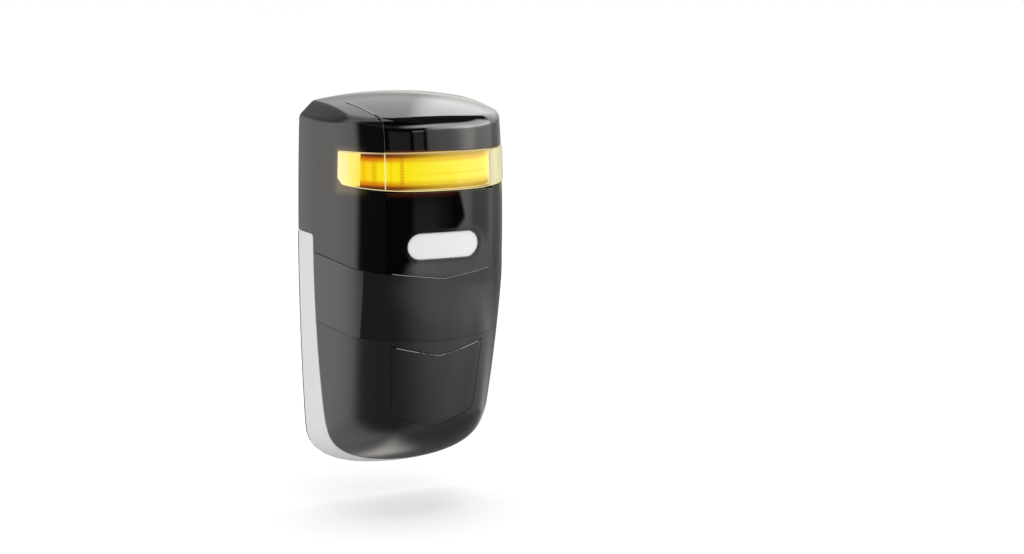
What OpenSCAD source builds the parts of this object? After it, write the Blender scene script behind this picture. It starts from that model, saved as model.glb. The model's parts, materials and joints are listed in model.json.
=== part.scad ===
/* [Housing] */
// Overall height
body_h = 126.9; // [125:0.1:129]
// How far the housing's mid height lies above the middle of the two wall screws
mid_rise = 1.55; // [1:0.05:2]
// Width of the housing at its widest
body_w = 64.6; // [62:0.2:70]
// Depth from the wall to the middle of the front
body_d = 47; // [45.5:0.5:52]
// Squareness of the plan outline, where 2 is an ellipse
plan_power = 2.8; // [2.6:0.1:3.2]
// How much of it goes per mm below the upper seam, for a rounder bottom
plan_taper = 0.014; // [0.008:0.001:0.018]
// How much narrower each side is at the bow's reach
side_bow = 1.1; // [0.4:0.1:1.4]
// Radius of the front's backward curve below the lamp
front_curve_r = 370; // [320:10:500]
// Radius of the front's slight lean above the lamp
front_lean_r = 120; // [100:1:180]
// Height of the bottom's rounding seen from the front
side_round_h = 15.8; // [14:0.2:18]
// Height of the bottom's rounding seen from the side
front_round_h = 22; // [20:0.2:24]
// Radius of the roof's crown from side to side
roof_crown_r = 137; // [120:1:180]
// Radius of the roof's fall from back to front
roof_fall_r = 156; // [140:1:200]
// Width of the chamfer along each side of the roof
roof_chamfer_w = 4.6; // [3.5:0.1:5.5]
// Height of that chamfer
roof_chamfer_h = 4.4; // [3.5:0.1:5.5]
// Rounding of the roof's front edge
roof_front_r = 3; // [2:0.1:3.5]
// Rounding of the roof's side edges
roof_side_r = 1; // [0.6:0.1:1.4]
// Wall of the dark covers
cover_wall = 2.2; // [2:0.1:2.5]
// Wall of the silver base
base_wall = 2.2; // [1.8:0.1:2.5]

/* [Seams] */
// Height of the upper seam on the sides, from mid height
upper_seam_z = 13.8; // [13:0.2:14.6]
// How far it falls along each side
upper_seam_fall = 3; // [2.4:0.1:3.4]
// How far its chevron drops at the middle of the front
upper_seam_drop = 3.5; // [2.8:0.1:4]
// Height of the lower seam on the sides
lower_seam_z = -8.8; // [-9.6:0.2:-8]
// How far its chevron drops
lower_seam_drop = 1.4; // [1:0.1:2]
// Gap between two covers at a seam
seam_gap = 0.2; // [0.12:0.02:0.3]
// Top edge of the silver base on the sides
base_top_z = 19.8; // [18.6:0.1:21]
// Depth of the silver band at its top
band_top_d = 13.2; // [12.6:0.1:14]
// Depth of the silver band at the bottom
band_low_d = 14.5; // [14:0.1:16]

/* [Lamp] */
// Distance from the roof's middle down to the lamp lens
lens_drop = 16.7; // [16:0.1:17.4]
// Height of the lens at the front
lens_h = 12.6; // [11.6:0.1:13]
// Depth at which the lens ends on each side
lens_end_d = 28.4; // [27:0.2:30]
// Chamfer at the lens's lower rear corners
lens_chamfer = 2; // [1:0.1:2.6]
// How far the lens's lower edge rises towards its ends
lens_rise = 1.8; // [1:0.1:2.2]
// Wall of the clear lens
lens_wall = 1.9; // [1.6:0.1:2.2]
// How far the lens and the visor stand proud
proud = 0.3; // [0.2:0.05:0.4]
// Number of light-emitting diodes in the lamp
led_count = 11; // [7:1:13]

/* [Front] */
// Thickness of the gloss visor
visor_t = 1.2; // [1:0.1:1.4]
// Width of the visor on the front
visor_w = 37.2; // [34:0.2:40]
// Width of the visor at its back edge on the roof
visor_back_w = 42.4; // [40:0.2:46]
// Distance from the wall to the visor's back edge
visor_back_d = 16; // [14:0.5:20]
// Width of the blank badge plate
badge_w = 24.8; // [22:0.2:27]
// Height of the badge plate
badge_h = 8.6; // [7.6:0.2:9.4]
// Height of the badge's middle above mid height
badge_z = 18.4; // [18:0.1:19]
// Width of the dark infrared window
window_w = 48.4; // [46:0.2:50]
// Width of the access lid at its top
lid_top_w = 32; // [28:0.2:34]
// Width of the access lid at its bottom
lid_low_w = 29.4; // [26:0.2:31]
// Height of the lid's upper corners
lid_top_z = -14.3; // [-15:0.1:-14]
// Height of the lid's lower corners
lid_low_z = -37.6; // [-39:0.2:-37]
// Drop of the lid's upper edge to its middle
lid_top_drop = 3.5; // [2:0.1:3.8]
// Drop of the lid's lower edge to its middle
lid_low_drop = 4.8; // [3:0.1:5.2]
// Thickness of the lid
lid_t = 1.8; // [1.5:0.1:2]

/* [Fixing] */
// Distance of each wall screw from the housing's end
wall_hole_in = 13; // [12:0.2:14]
// Radius of a wall screw hole
wall_hole_r = 2.25; // [2:0.05:2.6]
// Radius of the cable's hole through the grommet
cable_r = 4; // [3:0.1:4.4]
// Radius of the hole that holds the grommet
entry_r = 6.5; // [6:0.1:7]
// Height of the cable entry, from mid height
entry_z = -41; // [-42:0.5:-40.5]
// Thickness of the wall gasket
gasket_t = 1; // [0.8:0.1:1.5]
// Thickness of the base's back plate
plate_t = 2.6; // [2.2:0.1:3]
// Radius of the captive cover screw
cover_screw_r = 1.5; // [1.3:0.1:1.7]
// Height of the cover screw, from mid height
cover_screw_z = -29; // [-29.5:0.5:-28.5]

/* [Electronics] */
// Distance of the main board from each side of the housing
board_side = 7.3; // [6.8:0.1:8]
// Distance from the lamp lens down to the top of the main board
board_drop = 3.1; // [2.9:0.1:3.6]
// Thickness of the main board
board_t = 1.6; // [1.2:0.2:1.6]
// Gap between the back plate and the main board
board_gap = 7.4; // [6.6:0.2:8]
// Number of wire terminals
terminal_count = 5; // [3:1:5]
// Distance between two terminals
terminal_pitch = 5.08; // [5:0.04:5.08]
// Radius of the optic's barrel
optic_r = 7.5; // [7:0.1:8]
// Distance of the barrel's mouth from the front of the housing
optic_mouth = 10; // [9:0.2:11]
// Distance of the barrel's back from the main board
optic_stand = 5; // [4.8:0.2:6]
// Height of the optic's axis
optic_z = -1; // [-1.5:0.1:-0.5]
// Travel of a setting switch
dip_travel = 1.6; // [1.2:0.1:1.8]

/* [Hidden] */
$fn = 48;
over = 1;
fit_gap = 0.1;
plan_steps = 36;
edge_steps = 3;
top_z = body_h / 2 + mid_rise;
bottom_z = top_z - body_h;
widest_z = 10;
bow_reach = 50;
front_bend_z = 38;
taper_z = 5;
seam_corner_x = 26;
seam_side_x = 31.6;
lean_z = 40;
side_power = 2.55;
front_power = 1.67;
bottom_shares = [0.998, 0.985, 0.96, 0.92, 0.86, 0.78, 0.68, 0.56, 0.42, 0.26, 0.1];
roof_shares = [0.55, 0.25];
skirt_gap = 0.35;
wall_clear = 0.6;
side_w = body_w / 2 + 2 * over;
front_reach = body_d + 2 * over;
lens_top_z = top_z - lens_drop;
lens_low_z = lens_top_z - lens_h;

// Outline of the body: a squared half ellipse at every height, flat against the wall
function fall(run, r) = run > 0 ? r - sqrt(r * r - run * run) : 0;
function bottom_share(z, inset, round_h, curve_power) =
    let (run = (bottom_z + round_h - z) / (round_h - inset))
    run <= 0 ? 1 : pow(max(0, 1 - pow(min(1, run), curve_power)), 1 / curve_power);
function half_w(z, inset = 0) =
    (body_w / 2 - inset - side_bow * pow((z - widest_z) / bow_reach, 2))
    * bottom_share(z, inset, side_round_h, side_power);
function front_d(z, inset = 0) =
    (body_d - inset - fall(front_bend_z - z, front_curve_r) - fall(z - lean_z, front_lean_r))
    * bottom_share(z, inset, front_round_h, front_power);
function power(z) = plan_power - plan_taper * max(0, taper_z - z);
function plan(a, w, d, z) = [
    w * sign(sin(a)) * pow(abs(sin(a)), 2 / power(z)),
    -d * pow(abs(cos(a)), 2 / power(z))
];
angles = [for (i = [0:plan_steps]) -90 + 180 * i / plan_steps];
function ring(z, inset) =
    [for (a = angles) let (p = plan(a, half_w(z, inset), front_d(z, inset), z)) [p.x, p.y, z]];
function with_back(pts, back) = back == 0 ? pts
    : concat([[pts[0].x, back, pts[0].z]], pts, [[pts[plan_steps].x, back, pts[plan_steps].z]]);

// Roof: crowned from side to side, chamfered along its sides and falling towards the front
roof_edge_x = half_w(top_z) - roof_chamfer_w;
roof_edge_z = top_z - roof_edge_x * roof_edge_x / (2 * roof_crown_r);
roof_slope = roof_chamfer_h / roof_chamfer_w;
function roof_z(x, y, inset) =
    let (crown = top_z - inset - x * x / (2 * roof_crown_r),
        bevel_in = inset * sqrt(1 + roof_slope * roof_slope),
        chamfer = roof_edge_z - (abs(x) - roof_edge_x) * roof_slope - bevel_in)
    min(crown, chamfer) - y * y / (2 * roof_fall_r);
function edge_r(a, inset) =
    max(roof_side_r / 2, roof_side_r + (roof_front_r - roof_side_r) * pow(cos(a), 2) - inset);
function edge_z(a, inset) =
    let (p = plan(a, half_w(roof_edge_z, inset), front_d(roof_edge_z, inset), roof_edge_z))
    roof_z(p.x, p.y, inset) - edge_r(a, inset);
function roof_point(a, inset, turn, share) =
    let (z = edge_z(a, inset), r = edge_r(a, inset), in = r * (1 - cos(turn)),
        p = plan(a, half_w(z, inset) - in, front_d(z, inset) - in, z) * share)
    [p.x, p.y, roof_z(p.x, p.y, inset) - r * (1 - sin(turn))];

// A closed stack of rings with flat ends, or with one end drawn in to a tip
module ring_stack(rings, tip = undef, tip_low = false) {
    count = len(rings[0]);
    last = len(rings) - 1;
    sides = [for (j = [0:last - 1], i = [0:count - 1])
        let (k = (i + 1) % count, a = j * count, b = a + count)
        each [[a + i, b + k, a + k], [a + i, b + i, b + k]]];
    low = [for (i = [0:count - 1]) i];
    high = [for (i = [count - 1:-1:0]) last * count + i];
    fan = tip == undef ? [] : [for (i = [0:count - 1]) let (k = (i + 1) % count)
        tip_low ? [i, k, len(rings) * count] : [last * count + k, last * count + i, len(rings) * count]];
    caps = tip == undef ? [low, high] : tip_low ? [high] : [low];
    points = [for (r = rings) each r];
    polyhedron(tip == undef ? points : concat(points, [tip]), concat(sides, fan, caps), convexity = 8);
}
module band_form(inset, z0, z1, back = 0, steps = 2)
    ring_stack([for (j = [0:steps]) with_back(ring(z0 + (z1 - z0) * j / steps, inset), back)]);
module lower_form(inset, z1, back = 0) {
    round_h = front_round_h - inset;
    knee = bottom_z + front_round_h;
    low = [for (s = bottom_shares) knee - round_h * s];
    steps = 5;
    high = [for (j = [0:steps]) knee + (z1 - knee) * j / steps];
    rings = [for (z = concat(low, high)) with_back(ring(z, inset), back)];
    ring_stack(rings, [0, back, bottom_z + inset], true);
}
module upper_form(inset, z0, back = 0, steps = 4) {
    walls = [for (j = [0:steps - 1]) [for (a = angles)
        let (z = z0 + (edge_z(a, inset) - z0) * j / steps,
            p = plan(a, half_w(z, inset), front_d(z, inset), z))
        [p.x, p.y, z]]];
    edges = [for (j = [0:edge_steps]) [for (a = angles) roof_point(a, inset, 90 * j / edge_steps, 1)]];
    kink = roof_edge_x / half_w(top_z);
    roof = [for (s = concat([kink], roof_shares)) [for (a = angles) roof_point(a, inset, 90, s)]];
    ring_stack([for (r = concat(walls, edges, roof)) with_back(r, back)], [0, back, roof_z(0, 0, inset)]);
}

// A strip of wall between two insets and two heights, in front of a depth
module skin(inset_0, inset_1, z0, z1, d, steps = 2) intersection() {
    difference() {
        band_form(inset_0, z0, z1, 0, steps);
        band_form(inset_1, z0 - over, z1 + over, over, steps);
    }
    block([2 * side_w, front_reach, z1 - z0 + 2 * over], [0, -d, (z0 + z1) / 2]);
}

// Straight prisms seen from the front, from the side and from above
module front_prism(outline, d0, d1)
    translate([0, -d0, 0]) rotate([90, 0, 0]) linear_extrude(d1 - d0) polygon(outline);
module side_prism(outline, w = 2 * side_w)
    rotate([90, 0, 90]) linear_extrude(w, center = true) polygon(outline);
module plan_prism(outline, z0, z1) translate([0, 0, z0]) linear_extrude(z1 - z0) polygon(outline);
module peg(r, d0, d1) translate([0, -d0, 0]) rotate([90, 0, 0]) cylinder(r = r, h = d1 - d0);
module block(size, at) translate(at) translate([-size.x / 2, -size.y, -size.z / 2]) cube(size);
function mirrored(points) = concat(points, [for (i = [len(points) - 1:-1:0]) [-points[i].x, points[i].y]]);

// Seams: falling along the sides, then a shallow chevron across the front
function seam_side(z, fall, drop) =
    [[side_w, z], [seam_side_x, z], [seam_corner_x, z - fall], [0, z - fall - drop]];
function seam_line(z, fall, drop) =
    let (half = seam_side(z, fall, drop)) concat(half, [for (i = [2:-1:0]) [-half[i].x, half[i].y]]);
function upper_line(shift) = seam_line(upper_seam_z + shift, upper_seam_fall, upper_seam_drop);
function lower_line(shift) = seam_line(lower_seam_z + shift, upper_seam_fall, lower_seam_drop);
above_seam = concat(upper_line(seam_gap / 2), [[-side_w, top_z + over], [side_w, top_z + over]]);
below_seam = concat(upper_line(-seam_gap / 2), [[-side_w, bottom_z - over], [side_w, bottom_z - over]]);
seam_low_z = upper_seam_z - upper_seam_fall - upper_seam_drop - over;

// Side view of the silver base: a band that deepens towards the bottom, with a rounded top corner
band_bend_z = upper_seam_z;
band_corner_r = 1.5;
function band_outline(grow) =
    let (y = band_corner_r - band_top_d - grow, z = base_top_z + grow - band_corner_r)
    concat([[over, base_top_z + grow]],
        [for (t = [0:15:90]) [y - band_corner_r * sin(t), z + band_corner_r * cos(t)]],
        [[-band_top_d - grow, band_bend_z], [-band_low_d - grow, bottom_z - over],
            [over, bottom_z - over]]);

// Flat outline of the body against the wall, drawn in by inset
knee_z = bottom_z + front_round_h;
side_steps = 8;
crown_shares = [1, 0.66, 0.33];
function back_side(inset) = concat(
    [[0, bottom_z + inset]],
    [for (s = bottom_shares) let (z = knee_z - (front_round_h - inset) * s) [half_w(z, inset), z]],
    [for (j = [0:side_steps])
        let (z = knee_z + (edge_z(90, inset) - knee_z) * j / side_steps) [half_w(z, inset), z]],
    [for (s = crown_shares) let (x = roof_edge_x * s) [x, roof_z(x, 0, inset)]]);
function back_outline(inset) = concat(back_side(inset), [[0, roof_z(0, 0, inset)]],
    [for (p = [for (i = [len(back_side(inset)) - 1:-1:1]) back_side(inset)[i]]) [-p.x, p.y]]);
module back_slab(inset, d0, d1, z0, z1) intersection() {
    front_prism(back_outline(inset), d0, d1);
    translate([-side_w, -d1 - over, z0]) cube([2 * side_w, d1 + 2 * over, z1 - z0]);
}

// Wall gasket, silver base and what is fixed in them
upper_in = cover_wall + skirt_gap;
plate_d = gasket_t + plate_t;
grommet_lip = 1.5;
grommet_nose = 4;
board_d = plate_d + board_gap;
board_front = board_d + board_t;
board_w = body_w - 2 * board_side;
board_rise = 6.6;
board_low_z = cover_screw_z + board_rise;
board_h = lens_low_z - board_drop - board_low_z;
board_mid_z = board_low_z + board_h / 2;
post_r = 3;
post_in = 3.6;
pilot_r = 1.1;
screw_r = 1;
screw_head_r = 2.1;
screw_head_t = 1.5;
cross_long_share = 0.6;
cross_wide_share = 0.12;
screw_bite = 6;
post_x = board_w / 2 - post_in;
post_z = board_h / 2 - post_in;
boss_r = 4;
boss_d = 27;
boss_floor = 2;
pillar_in = 13;
pillar_x = body_w / 2 - pillar_in;
pillar_d = 19;
ear_t = 1.8;
ear_w = 11;
ear_h = 8;
ear_shift = 0.6;
lamp_z = (lens_top_z + lens_low_z) / 2;
seal_d = 1.5;
seal_w = 1.2;
seal_t = 1;
seal_gap = 0.4;
module at_wall_holes() for (s = [-1, 1]) translate([0, 0, s * (top_z - wall_hole_in)]) children();
module at_posts()
    for (x = [-post_x, post_x], z = [-post_z, post_z]) translate([x, 0, board_mid_z + z]) children();
module at_pillars() for (s = [0, 1]) mirror([s, 0, 0]) translate([pillar_x, 0, lamp_z]) children();
module wall_gasket() color("#202020") difference() {
    union() {
        back_slab(upper_in, 0, gasket_t, base_top_z - skirt_gap, top_z + over);
        back_slab(fit_gap, 0, gasket_t, bottom_z, base_top_z - skirt_gap);
    }
    at_wall_holes() peg(wall_hole_r, -over, gasket_t + over);
    translate([0, 0, entry_z]) peg(entry_r + grommet_lip + fit_gap, -over, gasket_t + over);
}
module rear_base() color("#d9dadb") difference() {
    union() {
        back_slab(upper_in, gasket_t, plate_d, base_top_z - over, top_z + over);
        difference() {
            intersection() {
                lower_form(0, base_top_z);
                side_prism(band_outline(0));
                front_prism(back_outline(0), gasket_t, front_reach);
            }
            intersection() {
                lower_form(base_wall, base_top_z + over, over);
                front_prism(back_outline(-over), plate_d, front_reach);
            }
        }
        at_posts() peg(post_r, plate_d - over, board_d);
        at_pillars() peg(post_r, plate_d - over, pillar_d);
        translate([0, 0, cover_screw_z]) peg(boss_r, plate_d - over, boss_d);
    }
    difference() {
        back_slab(upper_in - over, seal_d - fit_gap, seal_d + seal_w + fit_gap,
            base_top_z + seal_t, top_z + over);
        back_slab(upper_in + seal_t, 0, plate_d, base_top_z - over, top_z + over);
    }
    at_wall_holes() peg(wall_hole_r, 0, plate_d + over);
    at_posts() peg(pilot_r, plate_d + over, board_d + over);
    at_pillars() peg(pilot_r, plate_d + over, pillar_d + over);
    translate([0, 0, entry_z]) peg(entry_r, 0, plate_d + over);
    translate([0, 0, cover_screw_z]) peg(cover_screw_r + fit_gap / 2, plate_d + boss_floor, boss_d + over);
}
module cable_grommet() color("#1c1c1c")
    translate([0, 0, entry_z]) rotate([90, 0, 0]) rotate_extrude() polygon([
    [cable_r, 0], [entry_r + grommet_lip, 0], [entry_r + grommet_lip, gasket_t],
    [entry_r - fit_gap / 2, gasket_t], [entry_r - fit_gap / 2, plate_d],
    [entry_r + grommet_lip, plate_d], [entry_r + grommet_lip, plate_d + grommet_lip],
    [cable_r + grommet_lip, plate_d + grommet_nose], [cable_r, plate_d + grommet_nose]]);
module cover_seal() color("#262626") difference() {
    back_slab(cover_wall + seal_gap, seal_d, seal_d + seal_w, base_top_z + seal_t + fit_gap, top_z + over);
    back_slab(upper_in + seal_t - fit_gap, 0, plate_d, base_top_z, top_z + over);
}

// Main board and what stands on it
module cross(r, d, depth) for (t = [0, 90]) rotate([0, t, 0])
    block([2 * r * cross_long_share, depth + over, 2 * r * cross_wide_share], [0, depth - d, 0]);
module pan_screw(shank) {
    difference() {
        peg(screw_head_r, 0, screw_head_t);
        cross(screw_head_r, screw_head_t, screw_head_t / 2);
    }
    peg(screw_r, -shank, 0);
}
module main_board() color("#1f6b3a") difference() {
    block([board_w, board_t, board_h], [0, -board_d, board_mid_z]);
    at_posts() peg(screw_r + fit_gap, board_d - over, board_front + over);
}
module board_screws() color("#c8c8cc")
    at_posts() translate([0, -board_front, 0]) pan_screw(board_t + board_gap / 2);

terminal_h = 8.4;
terminal_d = 10;
terminal_end = 0.5;
terminal_in = 0.8;
terminal_w = terminal_count * terminal_pitch + 2 * terminal_end;
terminal_z = board_low_z + terminal_in + terminal_h / 2;
wire_r = 1.5;
wire_len = 5;
clamp_r = 1.7;
clamp_depth = 3;
clamp_slot = 0.6;
module at_terminals() for (i = [0:terminal_count - 1])
    translate([(i - (terminal_count - 1) / 2) * terminal_pitch, 0, terminal_z]) children();
module terminal_block() color("#2f9e5b") difference() {
    block([terminal_w, terminal_d, terminal_h], [0, -board_front, terminal_z]);
    at_terminals() {
        peg(clamp_r, board_front + terminal_d - clamp_depth, board_front + terminal_d + over);
        translate([0, -board_front - terminal_d / 3, -terminal_h / 2 - over])
            cylinder(r = wire_r, h = wire_len + over);
    }
}
module terminal_screws() color("#cfcfd2") at_terminals() difference() {
    peg(clamp_r - fit_gap / 2, board_front + terminal_d - clamp_depth,
        board_front + terminal_d - clamp_slot);
    block([2 * clamp_r, clamp_slot, clamp_slot], [0, -board_front - terminal_d + 2 * clamp_slot, 0]);
}

function on_board(share) = board_low_z + board_h * share;
relay_size = [11, 12, 15.5];
optic_side_gap = 4;
side_x = optic_r + optic_side_gap + relay_size.x / 2;
relay_share = 0.444;
relay_z = on_board(relay_share);
relay_edge = 0.8;
module relay() color("#e0761c") translate([-side_x, 0, relay_z]) {
    block(relay_size - [0, relay_edge, 0], [0, -board_front, 0]);
    block(relay_size - [2 * relay_edge, 0, 2 * relay_edge], [0, -board_front, 0]);
}
can_r = 4;
can_h = 11;
can_share = 0.753;
can_z = on_board(can_share);
groove_d = 1.4;
groove_w = 0.6;
groove_t = 0.3;
module capacitor() color("#23242c") translate([side_x, 0, can_z]) {
    peg(can_r, board_front, board_front + groove_d);
    peg(can_r - groove_t, board_front + groove_d - over / 2, board_front + groove_d + groove_w + over / 2);
    peg(can_r, board_front + groove_d + groove_w, board_front + can_h);
}
chip_size = [5, 1.4, 7.2];
chip_share = 0.48;
chip_z = on_board(chip_share);
leg_t = 0.3;
leg_pitch = 1.27;
leg_reach = 1;
leg_count = 5;
module controller_chip() color("#1a1a1c") {
    block(chip_size, [side_x, -board_front - leg_t / 2, chip_z]);
    for (i = [0:leg_count - 1]) block([chip_size.x + 2 * leg_reach, leg_t, leg_t],
        [side_x, -board_front, chip_z + (i - (leg_count - 1) / 2) * leg_pitch]);
}
regulator_size = [6.6, 2.3, 6.2];
regulator_share = 0.771;
regulator_z = on_board(regulator_share);
tab_size = [5.3, 0.6, 2.2];
pin_size = [0.6, 0.5, 2.6];
pin_x = 2.3;
module voltage_regulator() color("#1b1b1d") translate([-side_x, -board_front, regulator_z]) {
    block(regulator_size, [0, 0, 0]);
    block(tab_size, [0, 0, (regulator_size.z + tab_size.z) / 2 - over / 4]);
    for (i = [-1, 1]) block(pin_size, [i * pin_x, 0, over / 4 - (regulator_size.z + pin_size.z) / 2]);
}
led_r = 1.5;
led_h = 3.2;
led_foot = 0.3;
status_x = 8;
status_share = 0.862;
status_z = on_board(status_share);
module status_led() color("#7ddc6a") translate([status_x, 0, status_z]) {
    peg(led_r + led_foot, board_front, board_front + led_r / 2);
    peg(led_r, board_front, board_front + led_h - led_r);
    intersection() {
        translate([0, -board_front - led_h + led_r, 0]) sphere(r = led_r);
        peg(led_r + over, board_front + led_h - led_r, board_front + led_h + over);
    }
}
dip_size = [6.2, 3, 7.4];
dip_share = 0.244;
dip_z = on_board(dip_share);
dip_pitch = 2.54;
dip_knob = [1.1, 1.3, 1.4];
dip_slot_d = 1.4;
dip_run = dip_travel + dip_knob.z;
function dip_x(i) = side_x + (i - 0.5) * dip_pitch;
module dip_switch_body() color("#b3261e") difference() {
    block(dip_size, [side_x, -board_front, dip_z]);
    for (i = [0, 1]) block([dip_knob.x + 2 * fit_gap, dip_slot_d + over, dip_run + 2 * fit_gap],
        [dip_x(i), -board_front - dip_size.y + dip_slot_d, dip_z]);
}
module dip_slider(i) color("#f4f4f2") block(dip_knob, [dip_x(i),
    -board_front - dip_size.y + dip_slot_d - fit_gap / 2, dip_z - dip_travel / 2]);
module dip_slider_1() dip_slider(0);
module dip_slider_2() dip_slider(1);

// Optic: a barrel that turns between the two arms of its bracket
optic_back_d = board_front + optic_stand;
optic_mouth_d = body_d - optic_mouth;
pivot_back_share = 0.33;
pivot_d = optic_back_d + (optic_mouth_d - optic_back_d) * pivot_back_share;
pivot_r = 1.4;
arm_t = 2;
arm_gap = 0.35;
arm_w = 8;
bracket_t = 1.5;
barrel_wall = 1.5;
pin_in = 1.2;
arm_z = optic_r + arm_gap;
module optic_bracket() color("#2b2c2e") difference() {
    union() {
        block([2 * optic_r, bracket_t, 2 * (arm_z + arm_t)], [0, -board_front, optic_z]);
        for (s = [-1, 1]) translate([0, 0, optic_z + s * (arm_z + arm_t / 2)]) {
            block([arm_w, pivot_d - board_front, arm_t], [0, -board_front, 0]);
            translate([0, -pivot_d, -arm_t / 2]) cylinder(r = arm_w / 2, h = arm_t);
        }
    }
    translate([0, -pivot_d, optic_z - arm_z - arm_t - over])
        cylinder(r = pivot_r + fit_gap / 2, h = 2 * (arm_z + arm_t + over));
}
module optic_barrel() color("#17181a") translate([0, 0, optic_z]) difference() {
    peg(optic_r, optic_back_d, optic_mouth_d);
    peg(optic_r - barrel_wall, optic_back_d - over, optic_mouth_d + over);
    translate([0, -pivot_d, -optic_r - over]) cylinder(r = pivot_r + fit_gap / 4, h = 2 * (optic_r + over));
}
module optic_pivots() color("#b9bcc0")
    for (s = [-1, 1]) translate([0, -pivot_d, optic_z]) mirror([0, 0, s > 0 ? 0 : 1])
    translate([0, 0, optic_r - pin_in]) cylinder(r = pivot_r, h = pin_in + arm_gap + arm_t);
lens_bulge = 2.4;
lens_rim = 1.4;
optic_lens_r = optic_r - barrel_wall - fit_gap / 4;
bulge_r = (optic_lens_r * optic_lens_r + lens_bulge * lens_bulge) / (2 * lens_bulge);
lens_seat_d = optic_mouth_d - lens_rim - lens_bulge / 2;
module optic_lens() color("#6a2020") translate([0, 0, optic_z]) union() {
    peg(optic_lens_r, lens_seat_d, lens_seat_d + lens_rim);
    intersection() {
        translate([0, -lens_seat_d - lens_rim - lens_bulge + bulge_r, 0]) sphere(r = bulge_r);
        peg(optic_lens_r, lens_seat_d + lens_rim / 2, lens_seat_d + lens_rim + lens_bulge + over);
    }
}
receiver_t = 1.2;
diode_r = 2.5;
diode_h = 3;
module ir_receiver() color("#20242b") translate([0, 0, optic_z]) union() {
    peg(optic_lens_r, optic_back_d, optic_back_d + receiver_t);
    peg(diode_r, optic_back_d, optic_back_d + receiver_t + diode_h - diode_r / 2);
    translate([0, -optic_back_d - receiver_t - diode_h + diode_r, 0]) intersection() {
        sphere(r = diode_r);
        peg(diode_r + over, 0, diode_r + over);
    }
}

// Lamp: a strip of diodes in a white carrier, behind an amber light guide and the clear lens
flange_t = 1.1;
carrier_in = 3.8;
guide_in = 4;
guide_t = 1.7;
led_t = 1;
strip_t = 0.6;
carrier_t = 1.5;
led_in = guide_in + guide_t + fit_gap;
strip_in = led_in + led_t + fit_gap / 2;
back_in = strip_in + strip_t + fit_gap / 2;
carrier_lap = 0.9;
carrier_rim = 1.2;
carrier_low_z = lens_low_z - carrier_lap;
carrier_high_z = lens_top_z + carrier_lap;
channel_low_z = carrier_low_z + carrier_rim;
channel_high_z = carrier_high_z - carrier_rim;
carrier_end_d = 20.6;
guide_run = 15.5;
guide_end_d = body_d - guide_run;
ribbon_w = 8;
ribbon_t = 0.3;
ribbon_y = -(body_d - strip_in - strip_t / 2);
ribbon_rise = 1.1;
ribbon_z = board_low_z + board_h + ribbon_rise;
socket_h = 3.4;
socket_t = 3;
socket_end = 1;
socket_drop = 4.6;
socket_z = board_low_z + board_h - socket_drop;
module lamp_carrier() color("#efece2") difference() {
    union() {
        skin(carrier_in, back_in + carrier_t, carrier_low_z, carrier_high_z, carrier_end_d);
        at_pillars() block([ear_w, ear_t, ear_h], [ear_shift, -pillar_d, 0]);
    }
    skin(carrier_in - over, back_in, channel_low_z, channel_high_z, guide_end_d);
    block([ribbon_w + 2 * fit_gap, strip_t + 2 * fit_gap, 4 * over],
        [0, ribbon_y + strip_t / 2 + fit_gap, carrier_low_z]);
    at_pillars() peg(screw_r + fit_gap, pillar_d - over, pillar_d + ear_t + over);
    at_pillars() peg(screw_head_r + fit_gap, pillar_d + ear_t, pillar_d + ear_t + screw_bite);
}
module carrier_screws() color("#c8c8cc")
    at_pillars() translate([0, -pillar_d - ear_t, 0]) pan_screw(ear_t + screw_bite);
module lamp_board() color("#e9e6da")
    skin(strip_in, strip_in + strip_t, channel_low_z + fit_gap, channel_high_z - fit_gap,
        guide_end_d + over / 2);
led_w = 3;
led_span = 40;
module lamp_leds() color("#f6c945") intersection() {
    difference() {
        band_form(led_in, lamp_z - led_w / 2, lamp_z + led_w / 2);
        band_form(led_in + led_t, lamp_z - led_w, lamp_z + led_w, over);
    }
    for (i = [0:led_count - 1])
        block([led_w, front_reach, 2 * led_w],
            [(i / (led_count - 1) - 0.5) * led_span, -guide_end_d, lamp_z]);
}
module light_guide() color("#ffb51a")
    skin(guide_in, guide_in + guide_t, channel_low_z + fit_gap, channel_high_z - fit_gap,
        guide_end_d + over / 2);
module ribbon_socket() color("#f1efe8")
    block([ribbon_w + 2 * socket_end, socket_t, socket_h], [0, -board_front, socket_z]);
ribbon_low = socket_z + socket_h / 2;
ribbon_back = -board_front - socket_t / 2;
module lamp_ribbon() color("#d9a441") rotate([90, 0, 90]) linear_extrude(ribbon_w, center = true) polygon([
    [ribbon_y - ribbon_t / 2, channel_low_z], [ribbon_y - ribbon_t / 2, ribbon_z],
    [ribbon_back - ribbon_t / 2, ribbon_z],
    [ribbon_back - ribbon_t / 2, ribbon_low], [ribbon_back + ribbon_t / 2, ribbon_low],
    [ribbon_back + ribbon_t / 2, ribbon_z + ribbon_t], [ribbon_y + ribbon_t / 2, ribbon_z + ribbon_t],
    [ribbon_y + ribbon_t / 2, channel_low_z]]);

// Upper cover with its gloss visor, lamp lens and blank badge
function lens_outline(g) = [
    [-lens_end_d + g, lens_top_z + g],
    [-lens_end_d + g, lens_low_z + lens_rise + lens_chamfer - g / 2],
    [-lens_end_d - lens_chamfer + g / 2, lens_low_z + lens_rise - g],
    [-front_reach, lens_low_z - g],
    [-front_reach, lens_top_z + g]];
function visor_outline(g) = mirrored([
    [visor_w / 2 + g, -front_reach], [visor_w / 2 + g, -body_d * visor_turn_share],
    [visor_back_w / 2 + g, -visor_back_d + g]]);
visor_turn_share = 0.86;
badge_frame = 1.1;
badge_t = 1.6;
badge_floor = 0.9;
badge_bevel = 0.25;
module stadium(w, h) translate([0, 0, badge_z]) rotate([90, 0, 0]) translate([0, 0, body_d / 2])
    linear_extrude(front_reach) union() {
        square([w - h, h], center = true);
        for (s = [-1, 1]) translate([s * (w - h) / 2, 0]) circle(r = h / 2);
    }
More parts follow.
